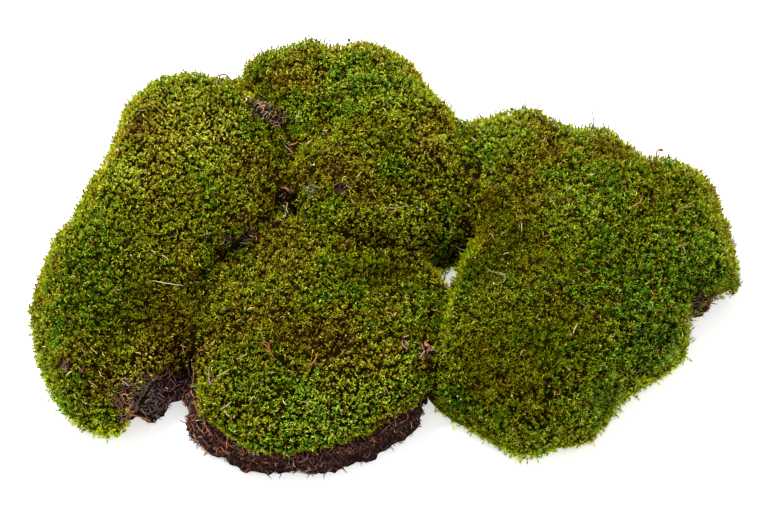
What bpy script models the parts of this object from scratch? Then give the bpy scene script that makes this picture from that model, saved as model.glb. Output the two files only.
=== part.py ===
"""A moss clump: four cushions of moss matted together, each on its own mat of soil and roots.

Metres, +Z up. The clump stands on Z = 0, with +Y towards its high back and the middle of its base at
the origin. A cushion is lofted: rings of points are extruded one from another, from under its middle,
round its rim, to its crown. Its soil mat is lofted on the same bearings, so the two follow each other
with a small gap between them.
"""

import math
from dataclasses import dataclass

import bmesh
import bpy
import numpy as np
from mathutils import Vector, noise

MM = 0.001

# Driving dimensions, in millimetres
SOIL_HEIGHT = 10.0  # a soil mat where the moss hides its edge
COVERED = -9.0  # how far a hidden soil edge stays inside the moss
LIFT_OVER = 4.0  # the change of soil reach that lifts a cushion's foot from the floor to the soil
CONTACT_GAP = 0.4  # between a cushion and the soil under it
FLOOR_GAP = 0.5  # between hanging moss and what the clump stands on
SEAM_GAP = 0.5  # between two cushions that press on each other
TUCK = 2.5  # how far the foot of a cushion pulls in under its rim
BULGE = 5.0  # the height over its foot at which a cushion is widest
MATTED = 4.5  # the width of a rim where two cushions are matted together and their tops run on
PARTED = 7.0  # the width of a rim where the seam between two cushions shows
POCKET_WALL = 1.0  # room between the moss that hangs over a soil mat and the mat's side

# Relief that every cushion has: (millimetres between lumps, their height in millimetres, layer of the noise)
HUMMOCKS = (27.0, 2.0, 1)
TUFTS = (16.0, 1.2, 2)
RAGGED_RIM = (24.0, 1.3, 3)
CRUMBLED_SOIL = (9.0, 1.2, 5)
CRUMBS_CHANGE = 3  # how far the crumbs' noise moves on from the foot of a soil mat's side to its top
NOISE_GAIN = 2  # Blender's noise seldom passes a half, so this brings it to about a whole

# The side of a soil mat: shares of its height, and how far the side is drawn in there, in millimetres
SOIL_PROFILE = ((0, 1.6), (0.25, 0.4), (0.6, 0.2), (1, 0.8))
SOIL_SLOPE = 0.6  # the share of its reach that a shown side slopes back to its top

# How finely the shapes are faceted
BEARINGS = 66
FINE_BEARINGS = 720  # on which a rim is measured before its places are spaced evenly
UNDER_RIM_DEGREES = (-90, -40, 0)
OVER_RIM_DEGREES = (24, 46, 67, 90)
CROWN_SHARES = (0.85, 0.69, 0.53, 0.36, 0.18)  # of the way out from the crown to where the rim turns down

# How a rim is pressed back from a neighbour
RIM_TESTS = (0, 0.25, 0.5, 0.75, 1)  # shares of a facet of the rim that are held clear
PRESS_STEP = 0.1  # millimetres

# Finishes: name, colour, roughness
MOSS_FINISH = ("moss_green", (0.13, 0.17, 0.02), 0.8)
SOIL_FINISH = ("soil_brown", (0.035, 0.018, 0.014), 0.95)


@dataclass
class Cushion:
    """One cushion and the soil mat under it, in millimetres.

    middle is where its rings centre in the plan, and crown how high its shoots stand before any swell.
    edge holds points round the rim: (x, y, width of the rounded rim, reach of the soil past it, soil height).
    swells holds what makes the cushion higher or lower in places: (x, y, radius, height).
    """

    name: str
    middle: tuple
    crown: float
    edge: list
    swells: list


LEFT = Cushion(
    name="left",
    middle=(-98, 8),
    crown=33,
    edge=[
        (-66, 98, 12, COVERED, SOIL_HEIGHT),
        (-73, 104, 18, COVERED, SOIL_HEIGHT),
        (-86, 105, 23, COVERED, SOIL_HEIGHT),
        (-100, 101, 25, COVERED, SOIL_HEIGHT),
        (-111, 93, 25, COVERED, SOIL_HEIGHT),
        (-119, 84, 24, COVERED, SOIL_HEIGHT),
        (-121, 67, 24, COVERED, SOIL_HEIGHT),
        (-128, 45, 28, COVERED, SOIL_HEIGHT),
        (-138, 21, 30, COVERED, SOIL_HEIGHT),
        (-147, -1, 30, COVERED, SOIL_HEIGHT),
        (-151, -20, 30, COVERED, SOIL_HEIGHT),
        (-148, -39, 32, COVERED, SOIL_HEIGHT),
        (-141, -57, 32, COVERED, SOIL_HEIGHT),
        (-131, -74, 30, COVERED, SOIL_HEIGHT),
        (-118, -84, 28, COVERED, SOIL_HEIGHT),
        (-108, -86, 24, COVERED, SOIL_HEIGHT),
        (-100, -84, 18, COVERED, SOIL_HEIGHT),
        (-95, -72, 14, 7, 15),
        (-88, -66, 13, 8, 15),
        (-82, -58, 12, 3, 14),
        (-81, -48, 14, -4, 12),
        (-80, -38, 8, COVERED, SOIL_HEIGHT),
        (-77, -26, MATTED, COVERED, SOIL_HEIGHT),
        (-68, -11, MATTED, COVERED, SOIL_HEIGHT),
        (-55, 3, MATTED, COVERED, SOIL_HEIGHT),
        (-45, 18, MATTED, COVERED, SOIL_HEIGHT),
        (-42, 34, PARTED, COVERED, SOIL_HEIGHT),
        (-45, 50, PARTED, COVERED, SOIL_HEIGHT),
        (-51, 68, PARTED, COVERED, SOIL_HEIGHT),
        (-58, 84, 9, COVERED, SOIL_HEIGHT),
    ],
    swells=[(-92, 74, 24, 8), (-98, 34, 30, 8), (-112, -12, 34, 5), (-66, 12, 22, -3)],
)

BACK = Cushion(
    name="back",
    middle=(-12, 58),
    crown=36,
    edge=[
        (-70, 103, 12, COVERED, SOIL_HEIGHT),
        (-68, 110, 18, COVERED, SOIL_HEIGHT),
        (-59, 117, 22, COVERED, SOIL_HEIGHT),
        (-48, 123, 22, COVERED, SOIL_HEIGHT),
        (-36, 127, 24, COVERED, SOIL_HEIGHT),
        (-25, 122, 24, COVERED, SOIL_HEIGHT),
        (-13, 125, 24, COVERED, SOIL_HEIGHT),
        (0, 122, 24, COVERED, SOIL_HEIGHT),
        (11, 116, 24, COVERED, SOIL_HEIGHT),
        (18, 105, 24, COVERED, SOIL_HEIGHT),
        (22, 94, 22, COVERED, SOIL_HEIGHT),
        (26, 81, 18, -4, 12),
        (34, 73, 14, COVERED, SOIL_HEIGHT),
        (37, 62, PARTED, COVERED, SOIL_HEIGHT),
        (37, 42, PARTED, COVERED, SOIL_HEIGHT),
        (37, 25, PARTED, COVERED, SOIL_HEIGHT),
        (37, 14, 9, COVERED, SOIL_HEIGHT),
        (34, 6, 12, COVERED, SOIL_HEIGHT),
        (27, 2, 12, COVERED, SOIL_HEIGHT),
        (20, -5, 10, COVERED, SOIL_HEIGHT),
        (10, -8, 9, COVERED, SOIL_HEIGHT),
        (-4, -8, 9, COVERED, SOIL_HEIGHT),
        (-17, -4, 8, COVERED, SOIL_HEIGHT),
        (-29, 5, PARTED, COVERED, SOIL_HEIGHT),
        (-37, 16, PARTED, COVERED, SOIL_HEIGHT),
        (-41, 30, PARTED, COVERED, SOIL_HEIGHT),
        (-44, 50, PARTED, COVERED, SOIL_HEIGHT),
        (-51, 68, PARTED, -1, 18),
        (-60, 85, 9, 0, 20),
    ],
    swells=[(-38, 94, 22, 4), (6, 74, 26, 8), (-4, 30, 24, 7), (-30, 62, 12, -3)],
)

FRONT = Cushion(
    name="front",
    middle=(-28, -42),
    crown=27,
    edge=[
        (-80, -52, 8, 0, 13),
        (-79, -42, MATTED, COVERED, SOIL_HEIGHT),
        (-76, -26, MATTED, COVERED, SOIL_HEIGHT),
        (-68, -11, MATTED, COVERED, SOIL_HEIGHT),
        (-55, 3, MATTED, COVERED, SOIL_HEIGHT),
        (-45, 14, MATTED, COVERED, SOIL_HEIGHT),
        (-34, 8, MATTED, COVERED, SOIL_HEIGHT),
        (-20, -4, MATTED, COVERED, SOIL_HEIGHT),
        (-5, -10, MATTED, COVERED, SOIL_HEIGHT),
        (10, -10, PARTED, COVERED, SOIL_HEIGHT),
        (21, -8, 9, COVERED, SOIL_HEIGHT),
        (26, -14, PARTED, COVERED, SOIL_HEIGHT),
        (27, -26, MATTED, COVERED, SOIL_HEIGHT),
        (25, -40, MATTED, COVERED, SOIL_HEIGHT),
        (20, -54, MATTED, COVERED, SOIL_HEIGHT),
        (17, -66, PARTED, -0.5, 12),
        (14, -76, 14, 2, 12),
        (6, -84, 20, 4, 12.5),
        (-8, -92, 26, 4, 12.5),
        (-21, -98, 28, 3, 12.5),
        (-33, -101, 28, 2, 12.5),
        (-46, -101, 26, 2, 12.5),
        (-56, -97, 26, 3, 12.5),
        (-67, -89, 22, 4, 13),
        (-74, -78, 18, 8, 14),
        (-77, -66, 12, 8, 14),
    ],
    swells=[(-34, -38, 30, 7), (-42, -66, 22, 3), (0, -40, 18, 3)],
)

RIGHT = Cushion(
    name="right",
    middle=(84, -8),
    crown=34,
    edge=[
        (37, 70, 9, COVERED, SOIL_HEIGHT),
        (37, 58, PARTED, COVERED, SOIL_HEIGHT),
        (37, 40, PARTED, COVERED, SOIL_HEIGHT),
        (37, 24, PARTED, COVERED, SOIL_HEIGHT),
        (37, 12, 9, COVERED, SOIL_HEIGHT),
        (35, 3, 12, COVERED, SOIL_HEIGHT),
        (33, -5, 10, COVERED, SOIL_HEIGHT),
        (30, -13, PARTED, COVERED, SOIL_HEIGHT),
        (28, -26, MATTED, COVERED, SOIL_HEIGHT),
        (26, -40, MATTED, COVERED, SOIL_HEIGHT),
        (21, -53, MATTED, COVERED, SOIL_HEIGHT),
        (17, -65, 10, COVERED, SOIL_HEIGHT),
        (22, -74, 20, COVERED, SOIL_HEIGHT),
        (32, -81, 26, COVERED, SOIL_HEIGHT),
        (42, -89, 28, COVERED, SOIL_HEIGHT),
        (54, -95, 28, COVERED, SOIL_HEIGHT),
        (67, -93, 28, COVERED, SOIL_HEIGHT),
        (80, -89, 28, COVERED, SOIL_HEIGHT),
        (91, -81, 27, COVERED, SOIL_HEIGHT),
        (98, -69, 22, COVERED, SOIL_HEIGHT),
        (107, -62, 26, COVERED, SOIL_HEIGHT),
        (121, -52, 30, COVERED, SOIL_HEIGHT),
        (129, -40, 28, COVERED, SOIL_HEIGHT),
        (131, -30, 24, COVERED, SOIL_HEIGHT),
        (142, -21, 24, -3, 10),
        (150, -14, 26, COVERED, SOIL_HEIGHT),
        (152, 5, 28, COVERED, SOIL_HEIGHT),
        (152, 22, 30, COVERED, SOIL_HEIGHT),
        (149, 38, 28, COVERED, SOIL_HEIGHT),
        (140, 47, 26, COVERED, SOIL_HEIGHT),
        (129, 50, 24, COVERED, SOIL_HEIGHT),
        (119, 52, 24, COVERED, SOIL_HEIGHT),
        (108, 63, 23, COVERED, SOIL_HEIGHT),
        (98, 73, 24, COVERED, SOIL_HEIGHT),
        (85, 75, 24, COVERED, SOIL_HEIGHT),
        (74, 77, 22, COVERED, SOIL_HEIGHT),
        (64, 85, 24, COVERED, SOIL_HEIGHT),
        (53, 84, 24, COVERED, SOIL_HEIGHT),
        (43, 77, 16, COVERED, SOIL_HEIGHT),
    ],
    swells=[
        (60, 52, 22, 4),
        (100, 18, 34, 8),
        (66, -46, 26, 4),
        (80, 52, 10, -4),
        (98, -50, 14, -4),
        (56, -10, 20, -2),
    ],
)

CUSHIONS = (LEFT, RIGHT, BACK, FRONT)  # each is pressed back from those before it


def material(name, colour, roughness):
    """A plain finish with the part's colour."""
    made = bpy.data.materials.new(name)
    made.use_nodes = True
    shader = made.node_tree.nodes["Principled BSDF"]
    shader.inputs["Base Color"].default_value = (*colour, 1)
    shader.inputs["Roughness"].default_value = roughness
    made.diffuse_color = (*colour, 1)
    return made


def lumps(x, y, relief, further=0):
    """Smooth lumps over the plan, in millimetres. Each layer of the noise has lumps of its own."""
    distance, height, layer = relief
    return NOISE_GAIN * height * noise.noise(Vector((x / distance, y / distance, layer + further)))


def smooth_round(angles, values, wanted):
    """The values at the wanted angles, on a closed smooth curve through the given ones."""
    count = len(angles)
    angle = np.concatenate([angles[-2:] - math.tau, angles, angles[:2] + math.tau])
    value = np.concatenate([values[-2:], values, values[:2]])
    slope = (value[2:] - value[:-2]) / (angle[2:] - angle[:-2])
    found = []
    for a in wanted:
        while a < angles[0]:
            a += math.tau
        while a >= angles[0] + math.tau:
            a -= math.tau
        i = min(int(np.searchsorted(angle, a, side="right")) - 1, count + 1)
        width = angle[i + 1] - angle[i]
        t = (a - angle[i]) / width
        found.append(
            (2 * t**3 - 3 * t**2 + 1) * value[i]
            + (t**3 - 2 * t**2 + t) * width * slope[i - 1]
            + (3 * t**2 - 2 * t**3) * value[i + 1]
            + (t**3 - t**2) * width * slope[i]
        )
    return np.array(found)


def rim_of(cushion):
    """The rim at evenly spaced places, a row each: bearing, radius, rim width, soil reach, soil height."""
    middle = np.array(cushion.middle, float)
    edge = np.array(cushion.edge, float)
    offset = edge[:, :2] - middle
    bearing = np.arctan2(offset[:, 1], offset[:, 0])
    order = np.argsort(bearing)
    bearing = bearing[order]
    columns = [np.hypot(*offset.T)[order], *edge[order, 2:].T]
    fine = np.linspace(-math.pi, math.pi, FINE_BEARINGS, endpoint=False)
    fine_radius = smooth_round(bearing, columns[0], fine)
    fine_points = np.stack([fine_radius * np.cos(fine), fine_radius * np.sin(fine)], 1)
    steps = np.linalg.norm(np.roll(fine_points, -1, 0) - fine_points, axis=1)
    travelled = np.concatenate([[0], np.cumsum(steps)])
    places = np.linspace(0, travelled[-1], BEARINGS, endpoint=False)
    bearings = np.interp(places, travelled, np.append(fine, math.pi))
    rim = np.stack([bearings, *(smooth_round(bearing, c, bearings) for c in columns)], 1)
    for row in rim:
        x, y = middle + row[1] * np.array([math.cos(row[0]), math.sin(row[0])])
        row[1] += lumps(x, y, RAGGED_RIM)
    return rim


def radius_towards(rim, bearing):
    """How far a rim reaches on any bearing."""
    return np.interp(bearing, rim[:, 0], rim[:, 1], period=math.tau)


def enters(cushion, ends, share, other, other_rim):
    """Whether a point between two neighbouring rim places comes too close to another cushion's rim."""
    points = [np.array([math.cos(row[0]), math.sin(row[0])]) * row[1] for row in ends]
    point = points[0] * (1 - share) + points[1] * share + cushion.middle - np.array(other.middle)
    return np.hypot(*point) < radius_towards(other_rim, math.atan2(point[1], point[0])) + SEAM_GAP


def press_back(cushion, rim, neighbours):
    """Draws the rim in wherever it would enter a neighbour that lies there already."""
    for other, other_rim in neighbours:
        for index in range(len(rim)):
            ends = (rim[index - 1], rim[index])
            while any(enters(cushion, ends, share, other, other_rim) for share in RIM_TESTS):
                for row in ends:
                    row[1] -= PRESS_STEP


def rise_over(cushion, x, y):
    """How high the shoots stand at a place in the plan, before the rim takes them down."""
    height = cushion.crown
    for swell_x, swell_y, radius, swell in cushion.swells:
        height += swell * math.exp(-((x - swell_x) ** 2 + (y - swell_y) ** 2) / (2 * radius**2))
    return height + lumps(x, y, HUMMOCKS) + lumps(x, y, TUFTS)


def foot_heights(rim):
    """The height of a cushion's foot on every bearing: over the floor, or on the soil where that shows."""
    shown = np.clip((rim[:, 3] - COVERED) / LIFT_OVER, 0, 1)
    feet = FLOOR_GAP + shown * (rim[:, 4] + CONTACT_GAP - FLOOR_GAP)
    return np.max([np.roll(feet, step) for step in (-1, 0, 1)], axis=0)


def cushion_rings(cushion, rim):
    """Rings of points from under the cushion's middle to its crown, in millimetres about its middle."""
    profiles = []
    for (bearing, radius, width, reach, soil), foot in zip(rim, foot_heights(rim)):
        pocket = min(radius + reach + POCKET_WALL, radius - TUCK - 2 * POCKET_WALL)
        profile = [(pocket, soil + CONTACT_GAP), (pocket + POCKET_WALL, foot)]
        widest = foot + BULGE
        along = Vector((math.cos(bearing), math.sin(bearing)))
        for degrees in UNDER_RIM_DEGREES:
            turn = math.radians(degrees)
            out = radius - TUCK * (1 - math.cos(turn))
            profile.append((out, widest + BULGE * math.sin(turn)))
        for degrees in OVER_RIM_DEGREES:
            turn = math.radians(degrees)
            out = radius - width * (1 - math.cos(turn))
            top = rise_over(cushion, *(Vector(cushion.middle) + along * out))
            profile.append((out, widest + (top - widest) * math.sin(turn)))
        for share in CROWN_SHARES:
            out = (radius - width) * share
            profile.append((out, rise_over(cushion, *(Vector(cushion.middle) + along * out))))
        profiles.append([(along.x * out, along.y * out, z) for out, z in profile])
    rings = [list(ring) for ring in zip(*profiles)]
    under = (0, 0, SOIL_HEIGHT + CONTACT_GAP)
    crown = (0, 0, rise_over(cushion, *cushion.middle))
    return [[under] * len(rim), *rings, [crown] * len(rim)]


def soil_rings(cushion, rim):
    """Rings of points of the soil mat, from the middle of its base to the middle of its top."""
    profiles = []
    for bearing, radius, _, reach, soil in rim:
        across, along = math.cos(bearing), math.sin(bearing)
        edge = radius + reach
        slope = SOIL_SLOPE * max(reach, 0)
        profile = []
        for share, inset in SOIL_PROFILE:
            x, y = cushion.middle[0] + across * edge, cushion.middle[1] + along * edge
            crumbled = abs(lumps(x, y, CRUMBLED_SOIL, CRUMBS_CHANGE * share))
            profile.append((edge - inset - crumbled - slope * share, soil * share))
        profiles.append([(across * out, along * out, z) for out, z in profile])
    rings = [list(ring) for ring in zip(*profiles)]
    return [[(0, 0, 0)] * len(rim), *rings, [(0, 0, SOIL_HEIGHT)] * len(rim)]


def loft(name, rings, at, finish, clump):
    """A closed body through rings of points, each extruded from the last. Its ends are drawn to a point."""
    shape = bmesh.new()
    bearing = shape.verts.layers.int.new("bearing")
    first = bmesh.ops.create_circle(shape, segments=len(rings[0]), radius=MM)["verts"]
    for index, vert in enumerate(first):
        vert[bearing] = index
        vert.co = Vector(rings[0][index]) * MM
    edges = shape.edges[:]
    last = first
    for ring in rings[1:]:
        made = bmesh.ops.extrude_edge_only(shape, edges=edges)["geom"]
        last = [part for part in made if isinstance(part, bmesh.types.BMVert)]
        edges = [part for part in made if isinstance(part, bmesh.types.BMEdge)]
        for vert in last:
            vert.co = Vector(ring[vert[bearing]]) * MM
    bmesh.ops.pointmerge(shape, verts=first, merge_co=Vector(rings[0][0]) * MM)
    bmesh.ops.pointmerge(shape, verts=last, merge_co=Vector(rings[-1][0]) * MM)
    bmesh.ops.triangulate(shape, faces=shape.faces[:])
    bmesh.ops.recalc_face_normals(shape, faces=shape.faces[:])
    mesh = bpy.data.meshes.new(name)
    shape.to_mesh(mesh)
    shape.free()
    mesh.shade_smooth()
    mesh.materials.append(finish)
    body = bpy.data.objects.new(name, mesh)
    body.location = Vector((*at, 0)) * MM
    body.parent = clump
    bpy.context.scene.collection.objects.link(body)
    return body


def stand_on_origin(clump):
    """Moves the clump so that the middle of its base is the origin."""
    bpy.context.view_layer.update()
    corners = [o.matrix_world @ Vector(c) for o in clump.children for c in o.bound_box]
    low = Vector(map(min, *corners))
    high = Vector(map(max, *corners))
    clump.location = Vector((-(low.x + high.x) / 2, -(low.y + high.y) / 2, -low.z))
    print("clump", [round(side / MM, 1) for side in high - low], "moved", clump.location / MM)


def main():
    for old in list(bpy.data.objects):
        bpy.data.objects.remove(old)
    clump = bpy.data.objects.new("clump", None)
    bpy.context.scene.collection.objects.link(clump)
    moss = material(*MOSS_FINISH)
    soil = material(*SOIL_FINISH)
    laid = []
    for cushion in CUSHIONS:
        rim = rim_of(cushion)
        press_back(cushion, rim, laid)
        laid.append((cushion, rim))
        loft(f"moss_{cushion.name}", cushion_rings(cushion, rim), cushion.middle, moss, clump)
        loft(f"soil_{cushion.name}", soil_rings(cushion, rim), cushion.middle, soil, clump)
    stand_on_origin(clump)


main()
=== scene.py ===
# %% [markdown]
# # A moss clump
# Four cushions of moss have grown against each other, each on its own mat of soil and fine roots, and lie
# on a white table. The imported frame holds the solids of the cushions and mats. This script gives them what
# the eye meets: tens of thousands of leafy shoots, crumbling soil, loose litter, light and a camera.
# Everything is in metres. The cells are meant to be read from top to bottom, and each prints what it made.

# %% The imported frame
import math

import bmesh
import bpy
import numpy as np
from mathutils import Matrix, Vector, noise
from mathutils.bvhtree import BVHTree


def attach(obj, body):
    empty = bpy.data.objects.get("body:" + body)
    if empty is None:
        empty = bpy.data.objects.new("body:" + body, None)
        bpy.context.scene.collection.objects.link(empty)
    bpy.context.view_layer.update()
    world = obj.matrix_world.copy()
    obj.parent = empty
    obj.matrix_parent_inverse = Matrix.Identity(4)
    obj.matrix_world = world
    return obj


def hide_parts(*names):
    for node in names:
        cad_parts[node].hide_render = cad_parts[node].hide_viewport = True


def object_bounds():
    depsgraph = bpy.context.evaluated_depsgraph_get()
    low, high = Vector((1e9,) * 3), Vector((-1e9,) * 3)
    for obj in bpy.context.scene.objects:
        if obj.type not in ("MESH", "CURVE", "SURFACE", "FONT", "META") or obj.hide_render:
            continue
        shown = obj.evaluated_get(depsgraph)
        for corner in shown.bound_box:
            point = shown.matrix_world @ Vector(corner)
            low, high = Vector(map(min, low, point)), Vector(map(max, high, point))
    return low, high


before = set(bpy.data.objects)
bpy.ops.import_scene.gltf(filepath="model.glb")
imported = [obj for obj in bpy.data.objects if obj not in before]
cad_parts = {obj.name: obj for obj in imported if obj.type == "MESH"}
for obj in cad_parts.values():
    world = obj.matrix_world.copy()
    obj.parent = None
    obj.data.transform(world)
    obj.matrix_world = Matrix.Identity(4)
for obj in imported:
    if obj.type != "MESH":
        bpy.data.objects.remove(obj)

MM = 0.001
CUSHIONS = ("left", "back", "front", "right")
chance = np.random.default_rng(27)
cad_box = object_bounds()
print("the clump is", [round(side / MM, 1) for side in cad_box[1] - cad_box[0]], "mm")

# %% [markdown]
# # The camera
# The photograph looks down on the clump from the front. Its long lens flattens the perspective, so an 85
# mm lens stands far back and 50 degrees above the table. Setting the camera first lets later cells ask
# what lies behind a pixel of the photograph, which is how litter and colour patches find their places.

# %% Camera
PHOTO_WIDTH, PHOTO_HEIGHT = 768, 516
LENS_MM, SENSOR_MM = 85.0, 36.0
ELEVATION = math.radians(50)
CAMERA_DISTANCE = 779.9 * MM
CAMERA_AIM = Vector((-1.0, -13.2, 15.0)) * MM


def linked(name, data):
    """A new object of the scene."""
    made = bpy.data.objects.new(name, data)
    bpy.context.scene.collection.objects.link(made)
    return made


camera = linked("camera", bpy.data.cameras.new("camera"))
camera.data.lens = LENS_MM
camera.data.sensor_width = SENSOR_MM
camera.data.clip_start = 10 * MM
camera.location = CAMERA_AIM + CAMERA_DISTANCE * Vector((0, -math.cos(ELEVATION), math.sin(ELEVATION)))
camera.rotation_euler = (math.pi / 2 - ELEVATION, 0, 0)
bpy.context.scene.camera = camera
bpy.context.view_layer.update()


def sight_line(pixel):
    """The direction in which the camera sees a pixel of the photograph."""
    across = (pixel[0] - PHOTO_WIDTH / 2) / PHOTO_WIDTH
    upwards = (PHOTO_HEIGHT / 2 - pixel[1]) / PHOTO_WIDTH
    seen = Vector((across * SENSOR_MM, upwards * SENSOR_MM, -LENS_MM))
    return (camera.matrix_world.to_3x3() @ seen).normalized()


print("the camera stands at", [round(c / MM) for c in camera.location], "mm")

# %% [markdown]
# # The skins to plant on
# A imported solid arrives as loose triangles. A copy with its doubles merged is one skin again, with smooth
# normals to grow shoots along and to cast rays at. The solids themselves stay as they are.

# %% Skins
MERGE_WITHIN = 0.001 * MM
TABLE_GUESS = 20 * MM  # how high a line of sight past the clump is taken to pass beside it


def merged_skin(node):
    """A bmesh copy of a CAD node with its triangles joined."""
    skin = bmesh.new()
    skin.from_mesh(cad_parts[node].data)
    bmesh.ops.remove_doubles(skin, verts=skin.verts, dist=MERGE_WITHIN)
    skin.normal_update()
    return skin


skins = {node: merged_skin(node) for node in sorted(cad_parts)}
trees = {node: BVHTree.FromBMesh(skin) for node, skin in skins.items()}


def landing(pixel):
    """The place on the clump that shows at a pixel, or nearest to it, and the way the skin faces there."""
    line = sight_line(pixel)
    found = [tree.ray_cast(camera.location, line) for tree in trees.values()]
    found = [hit for hit in found if hit[0] is not None]
    if not found:
        beside = camera.location + line * ((TABLE_GUESS - camera.location.z) / line.z)
        found = [tree.find_nearest(beside) for node, tree in trees.items() if node.startswith("moss")]
    return min(found, key=lambda hit: hit[3])[:2]


print("skins:", {node: len(skin.faces) for node, skin in skins.items()})

# %% [markdown]
# # Finishes as expressions
# A material is a small calculation. `Wire` wraps one socket, so that sums on it add Math nodes, and
# `Finish.node` adds any other node from its type, its settings and its inputs.

# %% Wires and finishes
GLOSS = 0.02  # moss and soil are so fine and broken up that they scarcely shine


def paint(red, green, blue):
    """A colour as a screen shows it, 0 to 255, turned into the linear values that a shader takes."""
    shares = [value / 255 for value in (red, green, blue)]
    return (*(s / 12.92 if s <= 0.04045 else ((s + 0.055) / 1.055) ** 2.4 for s in shares), 1)


class Wire:
    """One output socket of a finish. Sums on it add Math nodes."""

    def __init__(self, finish, socket):
        self.finish = finish
        self.socket = socket

    def __add__(self, other):
        return self.finish.node("ShaderNodeMath", {"operation": "ADD"}, {0: self, 1: other})

    def __mul__(self, other):
        return self.finish.node("ShaderNodeMath", {"operation": "MULTIPLY"}, {0: self, 1: other})

    def other(self, index):
        """Another output of the same node."""
        return Wire(self.finish, self.socket.node.outputs[index])


class Finish:
    """A material with one Principled shader, whose nodes are added by node() and whose sockets by look()."""

    def __init__(self, name, roughness):
        self.material = bpy.data.materials.new(name)
        self.material.use_nodes = True
        self.tree = self.material.node_tree
        self.look("Roughness", roughness)
        self.look("Specular IOR Level", GLOSS)

    def feed(self, socket, value):
        if isinstance(value, Wire):
            self.tree.links.new(value.socket, socket)
        else:
            socket.default_value = value

    def look(self, name, value):
        self.feed(self.tree.nodes["Principled BSDF"].inputs[name], value)

    def node(self, kind, settings=None, inputs=None):
        made = self.tree.nodes.new(kind)
        for setting, value in (settings or {}).items():
            setattr(made, setting, value)
        for socket, value in (inputs or {}).items():
            self.feed(made.inputs[socket], value)
        return Wire(self, made.outputs[0])

    def ramp(self, share, stops):
        """The colour at a share of a ramp, whose stops are places and colours."""
        made = self.node("ShaderNodeValToRGB", inputs={"Fac": share})
        elements = made.socket.node.color_ramp.elements
        while len(elements) < len(stops):
            elements.new(1)
        for element, (position, colour) in zip(elements, stops):
            element.position = position
            element.color = paint(*colour)
        return made

    def mix(self, share, first, second):
        return self.node("ShaderNodeMix", {"data_type": "RGBA"}, {0: share, 6: first, 7: second}).other(2)


print("paint mixes mid grey to", round(paint(128, 128, 128)[0], 3))

# %% [markdown]
# # Palettes for small things
# Forty thousand shoots can't each have a material. Instead every leaf's UV map points at one spot of a
# palette: across it, the tone changes from dead brown to deep green, and up it, the leaf gets lighter from
# its foot, painted in shade, to its tip, where the lightest leaves turn pale, partly their own pale tips and
# partly a painted highlight. One material then serves all, and each shoot still has a colour of its own.
# Leaves that light shines through have a second, lit palette of the same tones, as painted light: they glow
# a little and turn less pale at their tips.

# %% Palettes
PALETTE_MAP = "OFBake"
PALE_FROM = 0.3  # the lightness from which a tip turns pale, partly the leaf's own pale tip and partly a painted highlight


def palette(name, tones, pale, paleness, roughness, painted_glow=0):
    """A finish that looks its colour up in the piece's UV map: tone across, lightness up to a pale tip,
    which is partly a painted highlight.
    """
    finish = Finish(name, roughness)
    spot = finish.node("ShaderNodeUVMap", {"uv_map": PALETTE_MAP})
    across = finish.node("ShaderNodeSeparateXYZ", inputs={0: spot})
    up = across.other(1)
    # partly painted highlight: the lightest leaves are mixed towards the pale colour at their tips
    paled = finish.node("ShaderNodeMapRange", inputs={0: up, 1: PALE_FROM, 2: 1, 3: 0, 4: paleness})
    tipped = finish.mix(paled, finish.ramp(across, tones), paint(*pale))
    colour = finish.node("ShaderNodeVectorMath", {"operation": "SCALE"}, {0: tipped, "Scale": up})
    finish.look("Base Color", colour)
    # painted light: the leaf colour glows a little, standing for light shining through the leaves
    if painted_glow:
        finish.look("Emission Color", colour)
        finish.look("Emission Strength", painted_glow)
    return finish


LEAF_TONES = (  # place across the palette, colour
    (0.00, (122, 86, 80)), (0.12, (152, 100, 44)), (0.25, (186, 142, 26)),
    (0.38, (212, 182, 8)), (0.52, (222, 214, 4)), (0.66, (214, 232, 4)),
    (0.80, (170, 220, 2)), (0.91, (116, 190, 0)), (1.00, (62, 142, 0)),
)
TONE_OF = {
    "dead": 0.03, "brown": 0.15, "olive brown": 0.27, "golden": 0.39, "olive": 0.50,
    "yellow green": 0.64, "bright": 0.78, "fresh": 0.89, "deep": 0.97,
}
leaf_finish = palette("moss_leaf", LEAF_TONES, (255, 251, 142), paleness=0.42, roughness=0.62)
# painted light: a lit copy of the leaf palette, which glows and is less pale at the tips
lit_finish = palette("moss_leaf_lit", LEAF_TONES, (246, 255, 60), paleness=0.3, roughness=0.62, painted_glow=0.2)
print("leaf tones:", len(LEAF_TONES))

# %% [markdown]
# # Leaves and shoots
# A moss leaf is about a millimetre long: a pointed blade, folded a little along its length. A circle of
# four corners gives the blade in one face. A shoot's head is eight or nine such blades round a stem. Three
# habits cover most of the clump: open stars where it is fresh, slender upright shoots, and closed beads
# where it has dried. The right cushion mostly has needles instead, which radiate from each shoot. Each
# leaf and each whorl is painted darker towards its foot, as painted shade. On the rims light shines through
# the shoots, and they are painted lighter, with little of that painted shade. A few of each, built once, are
# enough, because every copy is turned, sized and coloured differently.

# %% Leaves
LEAF_SHADES = (0.06, 0.5, 1.0)  # painted shade: lightness at a leaf's foot, its sides and its tip, darkest at the foot
LIT_SHADES = (0.6, 0.82, 0.88)  # the same for leaves that light shines through, painted lighter as painted light
WIDEST_AT = 0.42  # share of a leaf's length
FOLD = 0.12  # how high its sides stand, as a share of its length
LEAF_TONE_WIDTH = 0.012  # how much of the palette a leaf spans
LEAF_LUCK = (0.3, 1.1)  # the least and greatest share of its whorl's lightness that a leaf gets
GOLDEN_ANGLE = math.radians(137.5)


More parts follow.
